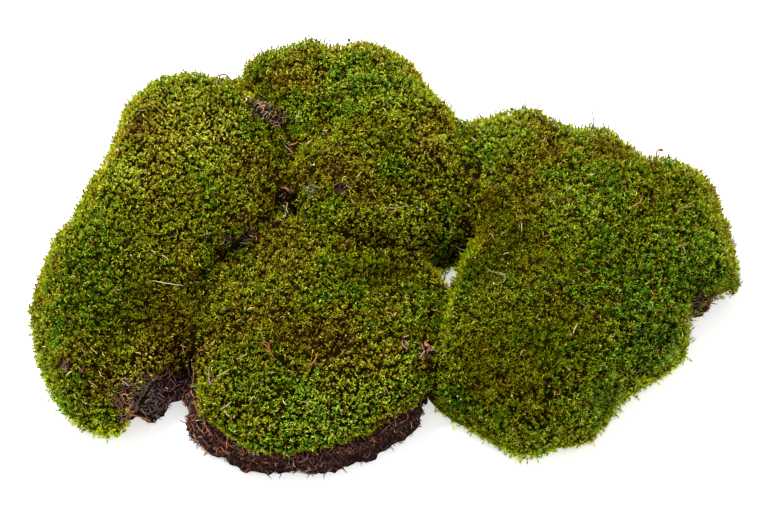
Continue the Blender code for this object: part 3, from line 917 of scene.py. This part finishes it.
# %% Shoots
SHOOTS_A_PIECE = 9000
SHOOT_DEPTH = 0.8 * MM  # a shoot's head starts this far under its tips
JITTER = 0.25 * MM
UNEVEN = 0.42 * MM  # how much neighbouring tips differ in height
TALL_SHARE, TALL_RIM_SHARE = 0.12, 0.35  # of the shoots, on the crowns and on the rims
TALLER = 2.1 * MM  # how far the tallest shoots stand out from the rest
TOP_MARGIN = 2 * MM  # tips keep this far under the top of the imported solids


def plant(name):
    """Plants one cushion, or the bridges, with shoots and returns its pieces."""
    places, facings, open_to, rim, hem = growing(name)
    count = len(places)
    places = places + chance.normal(0, JITTER, (count, 3))
    ragged = relief(places) * (1 - 0.4 * rim)
    tones, lights = shoot_colours(name, places, ragged, open_to, rim, hem)
    habit, kinds = shoot_habits(name, tones, np.maximum(rim, hem))
    leans = 0.55 * facings + chance.normal(size=(count, 3)) * LEANS[kinds, None]
    leans[:, 2] += 0.5 - 0.4 * hem
    leans = unit(leans)
    tall = chance.uniform(size=count) < TALL_SHARE + (TALL_RIM_SHARE - TALL_SHARE) * rim
    tall = tall * chance.uniform(0.3, 1, count)
    raised = ragged + chance.normal(0, UNEVEN, count)
    tips = places + facings * raised[:, None] + leans * (tall * TALLER)[:, None]
    tips[:, 2] = np.minimum(tips[:, 2], cad_box[1][2] - TOP_MARGIN)
    size = np.clip(chance.normal(1, 0.12, count), 0.7, 1.35)
    sizes = np.stack([size, size, size * (1 + 0.9 * tall)], axis=1)
    roots = tips - leans * SHOOT_DEPTH
    turns = upright_turns(leans)
    back_to_front = np.argsort(-roots[:, 1], kind="stable")
    shaded = back_to_front[habit[back_to_front] != LIT]
    parts = np.array_split(shaded, math.ceil(len(shaded) / SHOOTS_A_PIECE))
    sorts = {f"shoots_{name}_{number}": rows for number, rows in enumerate(parts, start=1)}
    sorts[f"lit_shoots_{name}"] = back_to_front[habit[back_to_front] == LIT]
    planted = []
    for title, rows in sorts.items():
        finish = lit_finish if title.startswith("lit") else leaf_finish
        picked = [each[rows] for each in (kinds, roots, turns, sizes, tones, lights)]
        piece = scatter(title, shoots, *picked, finish)
        if name in CUSHIONS:
            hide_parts(f"moss_{name}")
        planted.append(piece)
    return planted


for name in grounds:
    print(name, {piece.name: triangles(piece) for piece in plant(name)})

# %% [markdown]
# # Stray stems
# Long bare stems arch out between the shoots and catch the light, most of all where the moss is old. They
# are rootlet shapes again, in the colours of leaves.

# %% Stray stems
STEM_SPACING = 5.2 * MM
STEM_LIFT = 0.15 * MM
OPEN_ENOUGH = 0.35  # for a stem or a grain to be seen
stems = [rootlet(chance.uniform(1.8, 3.4), chance.uniform(0.3, 0.46)) for _ in range(14)]


def spread_over(name, spacing):
    """Places spread over the skin of a ground, and the way it faces."""
    return spread(skins.get(f"moss_{name}", skins["bridge"]), spacing)


def open_moss(spacing):
    """Places spread over the tips of the moss that is open to the light, and the way it faces there."""
    found = []
    for name in grounds:
        places, facings = spread_over(name, spacing)
        kept = (facings[:, 2] > 0) & in_sight(name, places)
        places, facings = places[kept], facings[kept]
        kept = openness(places, facings) > OPEN_ENOUGH
        found.append((places[kept] + facings[kept] * relief(places[kept])[:, None], facings[kept]))
    return [np.concatenate(column) for column in zip(*found)]


places, facings = open_moss(STEM_SPACING)
places += facings * STEM_LIFT
count = len(places)
size = chance.uniform(0.7, 1.15, count)
# the stems' lightness also takes the painted light and painted shade of the spots
stray_stems = scatter(
    "stray_stems", stems, chance.integers(len(stems), size=count), places,
    upright_turns(facings + chance.normal(0, 0.35, (count, 3))), np.outer(size, ALIKE),
    base_tones(places) + chance.normal(0, 0.1, count), chance.uniform(0.4, 0.85, count) * painted_light_and_shade(places),
    leaf_finish,
)
print("stray stems:", count, "with", triangles(stray_stems), "triangles")

# %% [markdown]
# # The dark mat under the shoots
# Between the shoots the eye falls into shade over old stems and dead leaves. A copy of each cushion's
# skin, drawn inwards by a few millimetres and made lumpy, closes the cushion there. Its near black brown is
# partly the old stems' own colour and partly painted shade.

# %% Old stems
MAT_DEPTH = 2.4 * MM
MAT_LUMPS = 0.7 * MM
MAT_FULL_DEPTH = 14 * MM  # below this height the mat comes closer to the skin
TABLE_LIGHT_UNDER = 8 * MM  # below this height the mat is painted green, as painted light from the table
CLOSED, OPEN = 0.15, 0.6  # how open a place is where the mat keeps to the skin, and where it lies deepest


def mottled(name, roughness, noises, share, stops, strength, depth):
    """A finish coloured and dented by coarse and fine noise, with the sockets of its places and colour."""
    finish = Finish(name, roughness)
    at = finish.node("ShaderNodeTexCoord").other(3)
    coarse, fine = (
        finish.node("ShaderNodeTexNoise", inputs={"Vector": at, "Scale": scale, "Detail": detail})
        for scale, detail in noises
    )
    colour = finish.ramp(coarse * share + fine * (1 - share), stops)
    dents = finish.node("ShaderNodeBump", inputs={"Strength": strength, "Distance": depth, "Height": fine})
    finish.look("Base Color", colour)
    finish.look("Normal", dents)
    return finish, at, colour


# near black brown, partly the old stems' colour and partly painted shade
STEM_AND_SHADE_STOPS = ((0.3, (12, 8, 0)), (0.5, (22, 17, 0)), (0.7, (30, 30, 0)))
stem_and_shade_finish, at, brown = mottled("old_stems_and_shade", 0.95, ((140, 3), (900, 2)), 0.6, STEM_AND_SHADE_STOPS, 0.6, 0.4 * MM)
height = stem_and_shade_finish.node("ShaderNodeSeparateXYZ", inputs={0: at}).other(2)
# painted light: towards the table the mat turns green
fresh = stem_and_shade_finish.node("ShaderNodeMapRange", inputs={0: height, 1: TABLE_LIGHT_UNDER, 2: 0, 3: 0, 4: 0.9})
stem_and_shade_finish.look("Base Color", stem_and_shade_finish.mix(fresh, brown, paint(86, 98, 14)))


def moss_mat(name):
    """The closed body of old stems inside a cushion."""
    node = f"moss_{name}"
    shape = skins[node].copy()
    bmesh.ops.subdivide_edges(shape, edges=shape.edges[:], cuts=1, use_grid_fill=True)
    bmesh.ops.triangulate(shape, faces=shape.faces[:])
    shape.normal_update()
    places = np.array([vert.co for vert in shape.verts])
    lumps = MAT_LUMPS * wander(places, 4 * MM, 57) + relief(places) - MAT_DEPTH
    open_to = openness(places, np.array([vert.normal for vert in shape.verts]))
    depths = lumps * np.clip((open_to - CLOSED) / (OPEN - CLOSED), 0, 1)
    depths *= np.clip(places[:, 2] / MAT_FULL_DEPTH, 0.4, 1)
    for vert, depth in zip(shape.verts, depths):
        vert.co += vert.normal * float(depth)
        vert.co.z = max(vert.co.z, TABLE_CLEARANCE)
    piece = finished_body(f"old_stems_and_shade_{name}", shape, stem_and_shade_finish)
    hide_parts(node)
    return piece


print("mats:", {mat.name: triangles(mat) for mat in map(moss_mat, CUSHIONS)})

# %% [markdown]
# # Stems under the bridges
# The bridges need the same dark mat under them, or the white table would show between the shoots. The
# bridge's grid is kept wherever two cushions come close, sunk below the shoots, and given a thickness. Its
# dark is partly old stems and partly painted shade in the seams.

# %% Old stems in the seams
SEAM_SINK = 3 * MM
SEAM_THICKNESS = 3 * MM
SEAM_LOWEST = 6 * MM  # where the clump is lower than this, the seam needs no stems

shape = seam_grid(seams & (closed_heights > SEAM_LOWEST))
for vert in shape.verts:
    vert.co.z -= SEAM_SINK
bmesh.ops.solidify(shape, geom=shape.faces[:], thickness=SEAM_THICKNESS)
bmesh.ops.recalc_face_normals(shape, faces=shape.faces[:])
seam_stems = finished_body("old_stems_and_shade_seams", shape, stem_and_shade_finish)
print("seams:", triangles(seam_stems), "triangles")

# %% [markdown]
# # Soil mats
# Each cushion was lifted with a flat cake of soil, held together by hair-fine roots. It is nearly black,
# with a purple bloom, and crumbles at its rim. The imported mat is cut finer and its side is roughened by
# noise of three sizes, while its flat underside stays flat, because the clump rests on it. The spots where
# soil has fallen off end in the depth of the bite in millimetres, which is less than 0 where the soil
# bulges.

# %% Soil
SOIL_ROUGHNESS = ((9, 1.0), (4, 1.0), (2, 0.8))  # millimetres between lumps, and their height
SOIL_DRAWN_IN = 0.6 * MM  # room for the rootlets and crumbs on it
SOIL_BITES = spots("157 428 7 5, 169 414 7 4, 190 437 5 1.2, 190 372 6 -2.5, 188 388 6 -3")
RAGGED_FOOT = 1.6 * MM  # how far the soil's lowest edge wanders in and out
FOOT_HEIGHT = 4 * MM
SOIL_EDGE = 1.7 * MM  # the longest edge of the soil's mesh
SOIL_STOPS = ((0.32, (16, 9, 10)), (0.5, (38, 23, 22)), (0.62, (62, 38, 30)), (0.72, (84, 66, 72)))
soil_finish = mottled("soil", 0.92, ((180, 4), (1300, 2)), 0.55, SOIL_STOPS, 0.8, 0.5 * MM)[0]


def crumbled(places, facings):
    """Where places on a packed mat lie once its sides are lumpy and have crumbled away in places."""
    lumps = sum(high * wander(places, apart * MM, 60 + apart) for apart, high in SOIL_ROUGHNESS) * MM
    lumps -= SOIL_DRAWN_IN + values_at(places, SOIL_BITES) * MM
    foot = np.clip(1 - places[:, 2] / FOOT_HEIGHT, 0, 1) * RAGGED_FOOT
    foot *= wander(places * (1, 1, 0), 2 * MM, 91)
    level = np.abs(facings[:, 2]) > 0.95
    moved = places + facings * (1, 1, 0) * np.where(level, 0, lumps + foot)[:, None]
    moved[:, 2] += np.where(level & (places[:, 2] > FOOT_HEIGHT), lumps, 0)
    return np.maximum(moved, (-np.inf, -np.inf, 0))


def soil_mat(name):
    """The crumbly cake of soil under one cushion."""
    node = f"soil_{name}"
    shape = skins[node].copy()
    for _ in range(3):
        long_edges = [edge for edge in shape.edges if edge.calc_length() > SOIL_EDGE]
        bmesh.ops.subdivide_edges(shape, edges=long_edges, cuts=1)
        bmesh.ops.triangulate(shape, faces=shape.faces[:])
    shape.normal_update()
    places = np.array([vert.co for vert in shape.verts])
    facings = np.array([vert.normal for vert in shape.verts])
    for vert, place in zip(shape.verts, crumbled(places, facings)):
        vert.co = place
    piece = finished_body(f"soil_cake_{name}", shape, soil_finish)
    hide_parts(node)
    return piece


print("soil:", {cake.name: triangles(cake) for cake in map(soil_mat, CUSHIONS)})

# %% [markdown]
# # The soil's rootlets and crumbs
# Rootlets lie all over what shows of the soil and over the bare places. Some stick out at the foot, which
# frays the soil's edge. Next to the moss they are orange brown, on the soil mostly dark, and here and
# there grey. Where they lie in shade at the grey purple spots and at one spot under the right cushion, they
# are painted lighter, as painted light.

# %% Rootlets on the soil
ROOTLET_SPACING = 1.1 * MM
CRUMB_SPACING = 1.7 * MM
FRAYED_UNDER = 4.5 * MM  # rootlets lower than this on the soil's side stick out
FRAYED_SHARE, FRAYED_LENGTH = 0.6, 1.45
RED_NEAR_MOSS = 2.5 * MM
SOIL_MIX = {
    "earth": 0.22, "root": 0.28, "red brown": 0.26, "orange": 0.1,
    "grey purple": 0.05, "pink": 0.06, "straw": 0.03,
}
RED_SOIL = spots("190 390 8, 198 420 8, 216 446 6, 122 410 4, 706 309 6")
# painted light: a spot in shade under the right cushion's overhang, painted lighter
SUNNY_SOIL = spots("706 309 6")
# grey purple spots, which are also painted lighter as painted light where they lie in shade
PURPLE_SOIL = spots("150 396 14, 168 404 10, 176 392 8, 270 112 10, 240 238 5, 310 186 5")


def soil_places(spacing):
    """Places on what shows of the soil and on bare moss, the way they face, and whether they are on moss."""
    found = []
    for name in CUSHIONS:
        places, facings = spread(skins[f"soil_{name}"], spacing)
        shows = (facings[:, 2] > -0.3) & (places[:, 2] > 0.3 * MM)
        places, facings = places[shows], facings[shows]
        shows = openness(places, facings) > 0.05
        places, facings = places[shows], facings[shows]
        found.append((crumbled(places, facings), facings, np.zeros(len(places), bool)))
    for name in grounds:
        places, facings = spread_over(name, spacing)
        bare = (bareness(places) > chance.uniform(0.1, 0.5, len(places))) & in_sight(name, places)
        places, facings = places[bare], facings[bare]
        found.append((places + facings * relief(places)[:, None], facings, np.ones(len(places), bool)))
    return [np.concatenate(column) for column in zip(*found)]


def lying_turns(facings, frayed):
    """Rotations that lay a pattern's X on the surface, or along the way it faces where it is frayed."""
    turns = upright_turns(facings)
    out = unit(facings[frayed] * (1, 1, 0.2) + chance.normal(0, 0.35, (frayed.sum(), 3)))
    up = unit(np.cross(out, chance.normal(size=out.shape)))
    turns[frayed] = np.stack([out, np.cross(up, out), up], axis=2)
    return turns


def soil_tones(places, on_moss):
    """Earth and root colours, orange next to the moss, grey purple in drifts, and how light they are, with
    painted light on the grey purple spots and on one spot in shade.
    """
    count = len(places)
    tones = chance.choice([LITTER_TONE_OF[name] for name in SOIL_MIX], count, p=list(SOIL_MIX.values()))
    near_moss = (distance_to("moss", places) < RED_NEAR_MOSS) & ~on_moss
    red, purple, lit = (near_spots(places, named).max(1) for named in (RED_SOIL, PURPLE_SOIL, SUNNY_SOIL))
    red = np.maximum(0.45 * near_moss, 0.6 * red) * (1 - purple)
    tones = np.where(chance.uniform(size=count) < red, LITTER_TONE_OF["orange"] - 0.06, tones)
    greyed = wander(places, 7 * MM, 83) + chance.normal(0, 0.3, count) > 0.75 - 0.8 * purple
    tones = np.where(greyed, LITTER_TONE_OF["grey purple"], tones)
    tones += chance.normal(0, 0.025, count)
    return tones, chance.uniform(0.4, 1.1, count) * (1 + 0.5 * purple + 0.7 * lit)


places, facings, on_moss = soil_places(ROOTLET_SPACING)
count = len(places)
frayed = (places[:, 2] < FRAYED_UNDER) & (facings[:, 2] < 0.4) & (chance.uniform(size=count) < FRAYED_SHARE)
size = chance.uniform(0.6, 1.2, count) * np.where(frayed, FRAYED_LENGTH, 1)
tones, lights = soil_tones(places, on_moss)
soil_roots = scatter(
    "soil_rootlets", rootlets, chance.integers(len(rootlets), size=count),
    places + facings * chance.uniform(0.1, 0.5, (count, 1)) * MM, lying_turns(facings, frayed),
    np.outer(size, ALIKE), tones, lights, litter_finish,
)

places, facings, on_moss = soil_places(CRUMB_SPACING)
count = len(places)
size = chance.uniform(0.4, 1.4, count)
soil_crumbs = scatter(
    "soil_crumbs", crumbs, chance.integers(len(crumbs), size=count), places, upright_turns(facings),
    np.outer(size, (1, 0.8, 0.7)), chance.uniform(0, 0.16, count), chance.uniform(0.5, 1, count),
    litter_finish,
)
print("rootlets:", triangles(soil_roots), "triangles, crumbs:", triangles(soil_crumbs), "triangles")

# %% [markdown]
# # Litter
# Straws, twigs, dead rootlets and leaf flakes have fallen on the moss, and lie across its tufts. Each that
# stands out in the photograph is named by its tone, its width in millimetres and the pixels that it runs
# through, after the word flat if it isn't round. Its points are found on the moss behind those pixels, and
# its corners are rounded off. The list runs from the left cushion to the right one.

# %% Litter
ROUND, FLAT = 1.0, 0.35
LITTER_LIFT = 0.25 * MM
LOWEST_LITTER = -0.6 * MM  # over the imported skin
TAPER = 0.4  # how thick a thing's ends are, as a share of its middle
WAVY = 0.12 * MM
THICKNESS = 0.38  # a thing's radius, as a share of its width in the list
TUBE_SIDES = 5


def things(text):
    """The things in a text: tuples of tone, width, flatness and pixels."""
    found = []
    for thing in text.split(";"):
        kind, pixels = thing.split(":")
        *words, width = kind.split()
        flatness = FLAT if words[0] == "flat" else ROUND
        found.append((" ".join(words).removeprefix("flat "), float(width), flatness, spots(pixels)))
    return found


LYING = things("""
    straw 0.5: 152 281, 167 284, 183 286; straw 0.45: 91 348, 97 354; pink 0.5: 83 348, 85 352, 86 356;
    straw 0.45: 102 352, 104 357; straw 0.4: 99 371, 102 377; straw 0.4: 103 365, 106 368;
    straw 0.4: 74 394, 76 399; straw 0.5: 67 375, 72 372; pink 0.6: 89 380, 91 383, 94 384, 98 387;
    red brown 0.7: 85 364, 83 369, 79 374; red brown 0.6: 78 366, 84 372;
    flat grey purple 0.9: 62 367, 64 363, 70 360; orange 0.6: 121 396, 125 393, 129 395;
    orange 0.7: 141 420, 153 422; red brown 0.5: 120 398, 123 408, 122 420;
    red brown 0.5: 127 400, 130 412, 129 424; flat pink 0.6: 150 391, 155 391;
    yellow brown 0.5: 113 288, 118 294; flat red brown 0.8: 194 274, 198 276; straw 0.4: 150 248, 156 254;
    yellow brown 0.5: 146 98, 154 104, 164 114; flat earth 0.9: 41 258, 43 262;
    flat orange 0.8: 180 345, 186 347; red brown 0.8: 187 364, 189 380, 191 398;
    orange 0.6: 189 372, 192 388; orange 0.6: 190 384, 194 402, 199 414; red brown 0.8: 192 396, 199 418;
    pink 0.6: 188 400, 194 420, 202 432; root 0.8: 186 380, 189 404, 194 424;
    orange 0.7: 197 408, 205 426, 213 436; flat pink 0.8: 191 437, 200 441;
    red brown 0.7: 203 420, 214 438, 226 448; root 0.8: 196 428, 210 446;
    pink 0.7: 250 105, 256 104, 260 102; straw 0.5: 299 110, 298 116, 295 119;
    yellow brown 0.6: 277 137, 281 134, 285 141; pink 0.6: 285 145, 289 149, 293 152;
    flat orange 0.9: 288 145, 293 144, 297 142; flat red brown 1: 287 154, 293 153;
    straw 0.5: 304 144, 312 139; straw 0.5: 322 130, 327 130;
    flat red brown 1.3: 281 187, 286 188, 290 192, 294 194; flat pink 1: 281 204, 285 207;
    pink 0.7: 288 202, 286 208, 288 213; flat white 0.8: 283 216, 286 216; straw 0.5: 275 222, 280 219;
    straw 0.5: 356 178, 362 172; orange 0.5: 319 72, 328 73;
    pink 0.45: 381 209, 386 208, 392 209, 401 208, 409 206; red brown 0.6: 387 205, 386 212;
    flat grey purple 0.8: 452 194, 455 193; flat orange 0.8: 467 204, 470 207;
    flat orange 0.9: 426 237, 430 238; straw 0.55: 211 345, 215 340; pink 0.5: 189 363, 188 371;
    pink 0.55: 210 365, 208 377, 210 384, 215 384; pink 0.4: 205 366, 207 371;
    straw 0.5: 217 377, 223 374, 228 372; orange 0.65: 252 342, 264 343, 268 348, 272 355, 274 358;
    orange 0.5: 262 341, 268 343, 270 349; red brown 0.5: 268 344, 273 340;
    orange 0.65: 308 366, 315 362, 318 352; yellow brown 0.5: 315 362, 321 366;
    red brown 0.5: 290 371, 293 375, 297 374; straw 0.45: 220 410, 232 402; straw 0.4: 224 410, 229 417;
    yellow brown 0.6: 306 406, 312 412; yellow brown 0.6: 384 386, 390 395; straw 0.4: 302 402, 316 402;
    pink 0.6: 402 341, 403 347, 408 350; pink 0.7: 403 338, 409 336; pink 0.6: 405 341, 409 346;
    straw 0.5: 254 396, 251 400; orange 0.8: 430 310, 435 311, 440 313;
    straw 0.5: 439 321, 440 328, 441 336; flat orange 1.4: 425 342, 428 346;
    flat grey purple 1.2: 426 350, 434 349; red brown 0.9: 422 343, 423 350;
    flat orange 1.3: 419 356, 424 357, 423 361; flat red brown 0.9: 420 362, 419 370;
    red brown 0.7: 428 343, 430 348, 427 353;
    pink 0.55: 486 270, 495 274, 502 274, 506 278, 504 283, 499 285; straw 0.5: 503 254, 509 252;
    straw 0.4: 501 235, 504 232; flat grey purple 1: 487 285, 490 284; straw 0.45: 577 324, 572 334;
    yellow brown 0.6: 677 215, 679 209, 685 208, 695 208; orange 0.7: 677 247, 684 244, 690 242;
    orange 0.8: 632 207, 636 205, 641 202, 641 198; red brown 0.55: 553 192, 556 197, 553 201;
    flat orange 0.8: 517 210, 521 212; straw 0.5: 472 138, 476 142; flat pink 0.9: 531 126, 534 125;
    flat red brown 1: 656 348, 657 353; flat pink 0.6: 566 367, 570 370;
    flat grey purple 1: 536 136, 540 137; flat earth 1: 563 146, 567 147
""")


def rounded(route):
    """The route with its corners cut off twice."""
    for _ in range(2):
        cut = [route[0]]
        for before, after in zip(route, route[1:]):
            cut += [before.lerp(after, 0.25), before.lerp(after, 0.75)]
        route = [*cut, route[-1]]
    return route


def add_thing(shape, tone, width, flatness, route, facing):
    """A thin thing along a route. The smaller its flatness, the thinner it is along its facing."""
    route = [point + Vector(chance.normal(0, WAVY, 3)) for point in rounded(route)]
    middle = (len(route) - 1) / 2
    shares = [1 - (1 - TAPER) * abs(index / middle - 1) ** 2 for index in range(len(route))]
    corners = grow_tube(shape, route, [width * MM * THICKNESS * share for share in shares], TUBE_SIDES)
    light = chance.uniform(0.6, 0.95)
    for index, corner in enumerate(corners):
        centre = route[index // TUBE_SIDES]
        corner.co -= facing * (corner.co - centre).dot(facing) * (1 - flatness)
        own_tone = LITTER_TONE_OF[tone] + chance.normal(0, 0.012)
        colour_corner(shape, corner, own_tone, light * chance.uniform(0.7, 1))


def coloured_body(name, shape):
    """A piece from a bmesh whose corners hold their own tone and lightness."""
    tones, lights = (shape.verts.layers.float[layer] for layer in ("tone", "light"))
    palette_spots = shape.loops.layers.uv.new(PALETTE_MAP)
    for face in shape.faces:
        for loop in face.loops:
            loop[palette_spots].uv = (loop.vert[tones], loop.vert[lights])
    bmesh.ops.recalc_face_normals(shape, faces=shape.faces[:])
    return finished_body(name, shape, litter_finish, smooth=False)


litter_shape = start_pattern()
for tone, width, flatness, pixels in LYING:
    landed = [landing(pixel) for pixel in pixels]
    high = max(relief(np.array([place for place, _ in landed])).max(), LOWEST_LITTER)
    facing = sum((facing for _, facing in landed), Vector()).normalized()
    route = [place + way * (high + LITTER_LIFT) for place, way in landed]
    add_thing(litter_shape, tone, width, flatness, route, facing)
litter = coloured_body("litter", litter_shape)
print("litter:", len(LYING), "things,", triangles(litter), "triangles")

# %% [markdown]
# # Grains, specks and dead straws
# Pale grains of sand and dark crumbs sit between the tips. Those that stand out have their tone, width and
# pixel here, and the rest are strewn, like the short dead straws, over every side of the clump.

# %% Grains, specks and straws
GRAINS = things("""
    white 1: 421 210; grey purple 1: 418 210; white 0.7: 508 264; white 0.9: 494 284; white 0.8: 493 313;
    straw 0.9: 458 396; pink 0.9: 512 396; white 0.9: 314 165; white 0.8: 306 208; white 0.7: 269 390;
    white 0.8: 235 431; pink 0.9: 250 433; white 0.8: 386 356; earth 1.3: 272 428; orange 0.8: 223 384;
    pink 0.7: 324 148; pink 0.8: 414 357; pink 1.1: 220 81; white 0.7: 469 257; white 0.7: 475 258;
    pink 0.9: 296 250; white 0.6: 135 366; white 0.9: 152 391; earth 1: 458 280; straw 0.7: 600 236;
    white 0.7: 620 291; pink 0.9: 346 336; earth 1: 720 206; pink 0.8: 677 276; grey purple 1.1: 351 341
""")
SPECK_SPACING = 10 * MM
STRAW_SPACING = 12 * MM
SPECK_MIX = {"white": 0.3, "straw": 0.25, "pink": 0.2, "earth": 0.15, "orange": 0.1}
STRAW_MIX = {"straw": 0.3, "orange": 0.2, "yellow brown": 0.2, "red brown": 0.15, "pink": 0.15}


def strewn_tones(mix, count):
    """A tone for each strewn thing, from a mix of names and shares."""
    return chance.choice([LITTER_TONE_OF[name] for name in mix], count, p=list(mix.values()))


landed = [landing(pixels[0]) for _, _, _, pixels in GRAINS]
places, facings = open_moss(SPECK_SPACING)
tones = strewn_tones(SPECK_MIX, len(places))
tones = np.concatenate([[LITTER_TONE_OF[tone] for tone, _, _, _ in GRAINS], tones])
size = np.concatenate([[width for _, width, _, _ in GRAINS], chance.uniform(0.3, 0.75, len(places))])
places = np.concatenate([[place + facing * LITTER_LIFT for place, facing in landed], places])
count = len(places)
grains = scatter(
    "grains", crumbs, chance.integers(len(crumbs), size=count), places,
    upright_turns(chance.normal(size=(count, 3))), np.outer(size, (1.3, 1, 1)), tones,
    chance.uniform(0.6, 1, count), litter_finish,
)

places, facings = open_moss(STRAW_SPACING)
places += facings * LITTER_LIFT
count = len(places)
size = chance.uniform(0.6, 1.1, count)
straws = scatter(
    "dead_straws", rootlets, chance.integers(len(rootlets), size=count), places,
    upright_turns(facings + chance.normal(0, 0.3, (count, 3))), np.outer(size, ALIKE),
    strewn_tones(STRAW_MIX, count), chance.uniform(0.6, 1, count), litter_finish,
)
print("grains:", triangles(grains), "triangles, straws:", triangles(straws), "triangles")

# %% [markdown]
# # Things that stand up
# Along the skyline a few spore stalks, sprouts and twigs stand out against the white. A stalk's foot is on
# the moss behind its first pixel. The photograph doesn't tell how far back the stalk leans, so its other
# pixels are taken to be as deep in the picture as its foot, or further back where that would stand too
# high.

# %% Standing things
STALK_TOP = 1.1 * MM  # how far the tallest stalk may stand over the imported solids
UPRIGHT = things("""
    root 0.75: 594 132, 594 122, 593 115, 592 109; red brown 0.7: 594 133, 594 127;
    root 0.7: 527 113, 526 105, 524 95; root 0.65: 536 112, 536 105; root 0.6: 504 115, 502 108;
    yellow brown 0.65: 555 129, 555 121, 552 118; root 0.75: 603 130, 604 123; root 0.65: 608 137, 608 131;
    root 0.65: 630 143, 633 137; grey purple 0.6: 635 152, 635 144; yellow brown 0.55: 641 151, 643 141;
    red brown 0.95: 657 162, 656 153, 658 150, 661 149, 665 151; grey purple 0.6: 711 190, 712 182;
    root 0.8: 307 43, 309 39, 315 39, 320 43, 323 49; yellow brown 0.65: 329 52, 334 45, 334 41, 333 39;
    straw 0.5: 350 47, 350 41; grey purple 0.65: 407 62, 407 55, 407 49; grey purple 0.65: 403 65, 406 60;
    root 0.95: 217 80, 218 75, 224 74, 228 76, 231 81; root 0.7: 161 82, 161 77; root 0.7: 169 78, 168 74;
    root 0.7: 209 77, 207 72
""")
CAPSULES = (  # tone, foot pixel of the stalk, pixel, width and height in millimetres
    ("earth", (512, 113), (512, 109), 1.5, 1.5), ("earth", (555, 129), (551, 118), 1.1, 0.8),
    ("earth", (350, 47), (349, 40), 1.4, 1.9), ("root", (656, 162), (661, 150), 2.0, 0.7),
)


def beyond(foot, pixel):
    """The point at a pixel that is as deep in the picture as a foot on the moss, or lower behind it."""
    line = sight_line(pixel)
    ahead = sight_line((PHOTO_WIDTH / 2, PHOTO_HEIGHT / 2))
    point = camera.location + line * ((foot - camera.location).dot(ahead) / line.dot(ahead))
    too_high = max(point.z - cad_box[1][2] - STALK_TOP, 0)
    return point + line * (too_high / -line.z)


upright_shape = start_pattern()
for tone, width, flatness, pixels in UPRIGHT:
    foot = landing(pixels[0])[0]
    route = [foot, *(beyond(foot, pixel) for pixel in pixels[1:])]
    add_thing(upright_shape, tone, width, flatness, route, STANDING)
for tone, foot_pixel, pixel, width, height in CAPSULES:
    place = Matrix.Translation(beyond(landing(foot_pixel)[0], pixel))
    size = Matrix.Diagonal((width * MM / 2, width * MM / 2, height * MM / 2, 1))
    ball = bmesh.ops.create_icosphere(upright_shape, subdivisions=2, radius=1, matrix=place @ size)
    for corner in ball["verts"]:
        colour_corner(upright_shape, corner, LITTER_TONE_OF[tone] + chance.normal(0, 0.01), 0.8)
coloured_body("standing_stalks", upright_shape)
print("standing:", len(UPRIGHT), "stalks and", len(CAPSULES), "capsules")

# %% [markdown]
# # Table and light
# The clump was photographed on white, under a broad light from above and behind on the left. The table is
# a plain pale plane, and the sky a plain white one, bright enough that only a faint shadow is left.

# %% Table and light
table_shape = bmesh.new()
bmesh.ops.create_grid(table_shape, x_segments=1, y_segments=1, size=3)
table_mesh = bpy.data.meshes.new("table")
table_shape.to_mesh(table_mesh)
table_shape.free()
table_finish = Finish("table_white", 0.8)
table_finish.look("Base Color", (0.9, 0.9, 0.9, 1))
table_finish.look("Emission Color", (1, 1, 1, 1))
table_finish.look("Emission Strength", 0.54)
table_mesh.materials.append(table_finish.material)
table = linked("table", table_mesh)

sky = bpy.data.worlds.new("sky")
sky.use_nodes = True
sky.node_tree.nodes["Background"].inputs["Color"].default_value = (1, 1, 1, 1)
sky.node_tree.nodes["Background"].inputs["Strength"].default_value = 0.8
bpy.context.scene.world = sky
bpy.context.scene.view_settings.view_transform = "Standard"

key = linked("key", bpy.data.lights.new("key", "AREA"))
key.data.size = 0.5
key.data.energy = 34
key.location = (-0.5, 0.5, 1.1)
key.rotation_euler = (CAMERA_AIM - key.location).to_track_quat("-Z", "Y").to_euler()
print("lights:", [light.name for light in bpy.data.lights])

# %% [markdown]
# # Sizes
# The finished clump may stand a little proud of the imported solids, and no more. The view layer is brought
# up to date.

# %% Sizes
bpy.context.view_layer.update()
